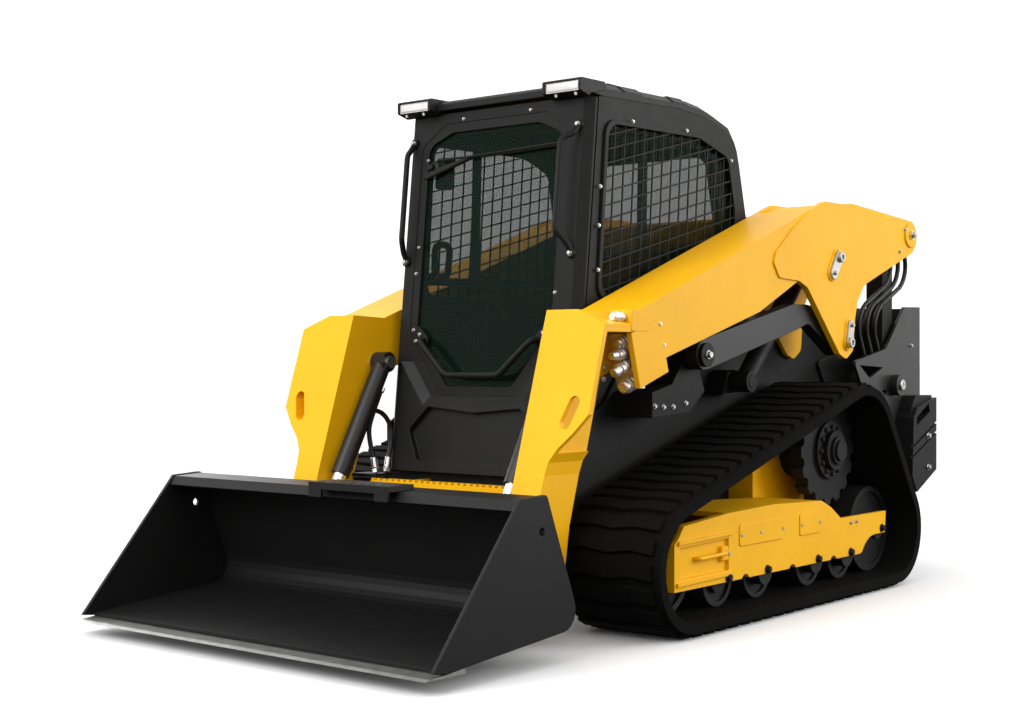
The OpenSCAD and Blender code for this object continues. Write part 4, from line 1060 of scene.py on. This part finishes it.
def backrest():
    """Backrest's form before it is blown up, thinner and narrower towards its top."""
    mesh = bmesh.new()
    tall = BACK_Z[1] - BACK_Z[0]
    half = BACK_HALF - PAD_INSET
    top = half - BACK_TAPER
    outline = rounded_corners([(-half, PAD_INSET), (half, PAD_INSET), (top, tall - PAD_INSET),
                               (-top, tall - PAD_INSET)], BACK_ROUND)

    def leaning(x, height, depth):
        t = height / tall
        front = BACK_FOOT[0] + (BACK_TOP[0] - BACK_FOOT[0]) * t
        rear = BACK_FOOT[1] + (BACK_TOP[1] - BACK_FOOT[1]) * t
        return Vector((x, front + (rear - front) * depth, BACK_Z[0] + height))

    loft(mesh, [[leaning(q.x, q.y, depth) for q in shrunk(outline, inset)] for inset, depth in BACK_STEPS])
    return finish_piece("seat_back", mesh, "chassis", "seat_cover")


def swell(piece):
    """Blows a closed form up with Blender's cloth, each point moved no further than the cap."""
    graph = bpy.context.evaluated_depsgraph_get()
    remesh = piece.modifiers.new("remesh", "REMESH")
    remesh.mode = "VOXEL"
    remesh.voxel_size = CLOTH_VOXEL
    graph.update()
    even = bpy.data.meshes.new_from_object(piece.evaluated_get(graph))
    piece.modifiers.clear()
    piece.data = even
    start = [v.co.copy() for v in even.vertices]
    cloth = piece.modifiers.new("cloth", "CLOTH")
    cloth.settings.use_pressure = True
    cloth.settings.uniform_pressure_force = CLOTH_PRESSURE
    cloth.settings.effector_weights.gravity = 0.0
    cloth.point_cache.frame_start = 1
    cloth.point_cache.frame_end = CLOTH_FRAMES
    for step in range(1, CLOTH_FRAMES + 1):
        bpy.context.scene.frame_set(step)
    blown = piece.evaluated_get(bpy.context.evaluated_depsgraph_get()).data
    ends = [v.co.copy() for v in blown.vertices]
    piece.modifiers.clear()
    bpy.context.scene.frame_set(1)
    for vertex, first, last in zip(even.vertices, start, ends):
        move = last - first
        if move.length > CLOTH_CAP:
            move *= CLOTH_CAP / move.length
        vertex.co = first + move


def soften(piece):
    """One level of subdivision over a blown form, shaded smooth."""
    piece.data.shade_smooth()
    smooth = piece.modifiers.new("smooth", "SUBSURF")
    smooth.levels = 1
    smooth.render_levels = 1


def seat_pads():
    """Cushion and backrest, blown up from smaller forms."""
    for pad in (cushion(), backrest()):
        swell(pad)
        soften(pad)


def seat_foot():
    """Suspension housing under the cushion, with a row of folds."""
    mesh = bmesh.new()
    low, high = FOOT_Z
    first = low + FOOT_BASE
    tall = (high - FOOT_LIP - first) / FOOT_FOLDS
    steps = [(0, low), (0, first)]
    for i in range(FOOT_FOLDS):
        fold = first + tall * i
        steps += [(14, fold + 0.25 * tall), (2, fold + 0.75 * tall)]
    steps += [(6, high)]
    stack(mesh, rounded_corners(rectangle(*FOOT), radius=40), steps)
    return finish_piece("seat_foot", mesh, "chassis", "moulded_plastic")


# Stage

# Camera, solved from the photograph's edges: metres, degrees and millimetres
CAMERA_PLACE = (4.0174, -5.4238, 1.0181)
CAMERA_AZIMUTH = 39.01
CAMERA_LENS = 54.165
CAMERA_SENSOR = 36.0

FLOOR_HALF = 400.0
FLOOR_GREY = 0.78

# The surround's strength above and below the horizon, and the heights between which it changes
SKY = 1.32
GROUND = 0.15
HORIZON = (-0.12, -0.04)

# Area lights: place, aim and size in metres, and power in watts
LIGHTS = {
    "key": ((-0.5, -7.5, 4.5), (0, -0.3, 0.9), (4, 4), 420),
    "side": ((6.5, 4.0, 3.0), (0.7, 0.4, 1.0), (4, 3), 280),
    "fill": ((-6.5, 1.0, 3.0), (-0.7, 0.2, 1.0), (4, 3), 180),
}


def make_camera():
    """The photograph's camera: level, looking back along the machine's left front."""
    data = bpy.data.cameras.new("camera")
    data.sensor_fit = "HORIZONTAL"
    data.sensor_width = CAMERA_SENSOR
    data.lens = CAMERA_LENS
    camera = bpy.data.objects.new("camera", data)
    camera.location = CAMERA_PLACE
    camera.rotation_euler = (math.radians(90), 0, math.radians(CAMERA_AZIMUTH))
    bpy.context.scene.collection.objects.link(camera)
    bpy.context.scene.camera = camera


def make_floor():
    """A wide pale floor at the lugs' tips."""
    mesh = bpy.data.meshes.new("floor")
    corners = rectangle(-FLOOR_HALF, -FLOOR_HALF, FLOOR_HALF, FLOOR_HALF)
    mesh.from_pydata([(x, y, 0) for x, y in corners], [], [(0, 1, 2, 3)])
    floor = bpy.data.objects.new("floor", mesh)
    bpy.context.scene.collection.objects.link(floor)
    material, _, shader = new_material("floor")
    shader.inputs["Base Color"].default_value = (FLOOR_GREY, FLOOR_GREY, FLOOR_GREY, 1)
    shader.inputs["Roughness"].default_value = 0.9
    shader.inputs["Specular IOR Level"].default_value = 0.1
    mesh.materials.append(material)
    # The photograph's floor throws almost no light back at the machine
    floor.visible_diffuse = False
    floor.visible_glossy = False


def area_light(name, place, aim, size, power):
    """A soft rectangular light that points from its place to its aim."""
    data = bpy.data.lights.new(name, "AREA")
    data.shape = "RECTANGLE"
    data.size, data.size_y = size
    data.energy = power
    light = bpy.data.objects.new(name, data)
    light.location = place
    light.rotation_euler = (Vector(aim) - Vector(place)).to_track_quat("-Z", "Y").to_euler()
    bpy.context.scene.collection.objects.link(light)


def make_light():
    """Soft studio light: a surround that is white above the horizon, and the area lights."""
    world = bpy.data.worlds.new("studio")
    world.use_nodes = True
    tree = world.node_tree
    place = tree.nodes.new("ShaderNodeTexCoord")
    split = tree.nodes.new("ShaderNodeSeparateXYZ")
    span = tree.nodes.new("ShaderNodeMapRange")
    span.inputs["From Min"].default_value, span.inputs["From Max"].default_value = HORIZON
    span.inputs["To Min"].default_value = GROUND
    span.inputs["To Max"].default_value = SKY
    tree.links.new(place.outputs["Generated"], split.inputs["Vector"])
    tree.links.new(split.outputs["Z"], span.inputs["Value"])
    background = tree.nodes["Background"]
    background.inputs["Color"].default_value = (1, 1, 1, 1)
    tree.links.new(span.outputs["Result"], background.inputs["Strength"])
    bpy.context.scene.world = world
    for name, values in LIGHTS.items():
        area_light(name, *values)


make_camera()
dress_frame()
hoses()
hose_fittings()
port_fittings()
hose_brackets()
chassis_bolts()
frame_nuts()
hub_bolts()
frame_covers()
rails()
lamp_lenses()
wiper()
window_trim()
window_bars()
rear_wall()
rear_glass()
consoles()
seat_pads()
seat_foot()
couplers()
coupler_box()
pin_locks()
lock_pads()
make_floor()
make_light()
bpy.context.scene.view_settings.view_transform = "Standard"
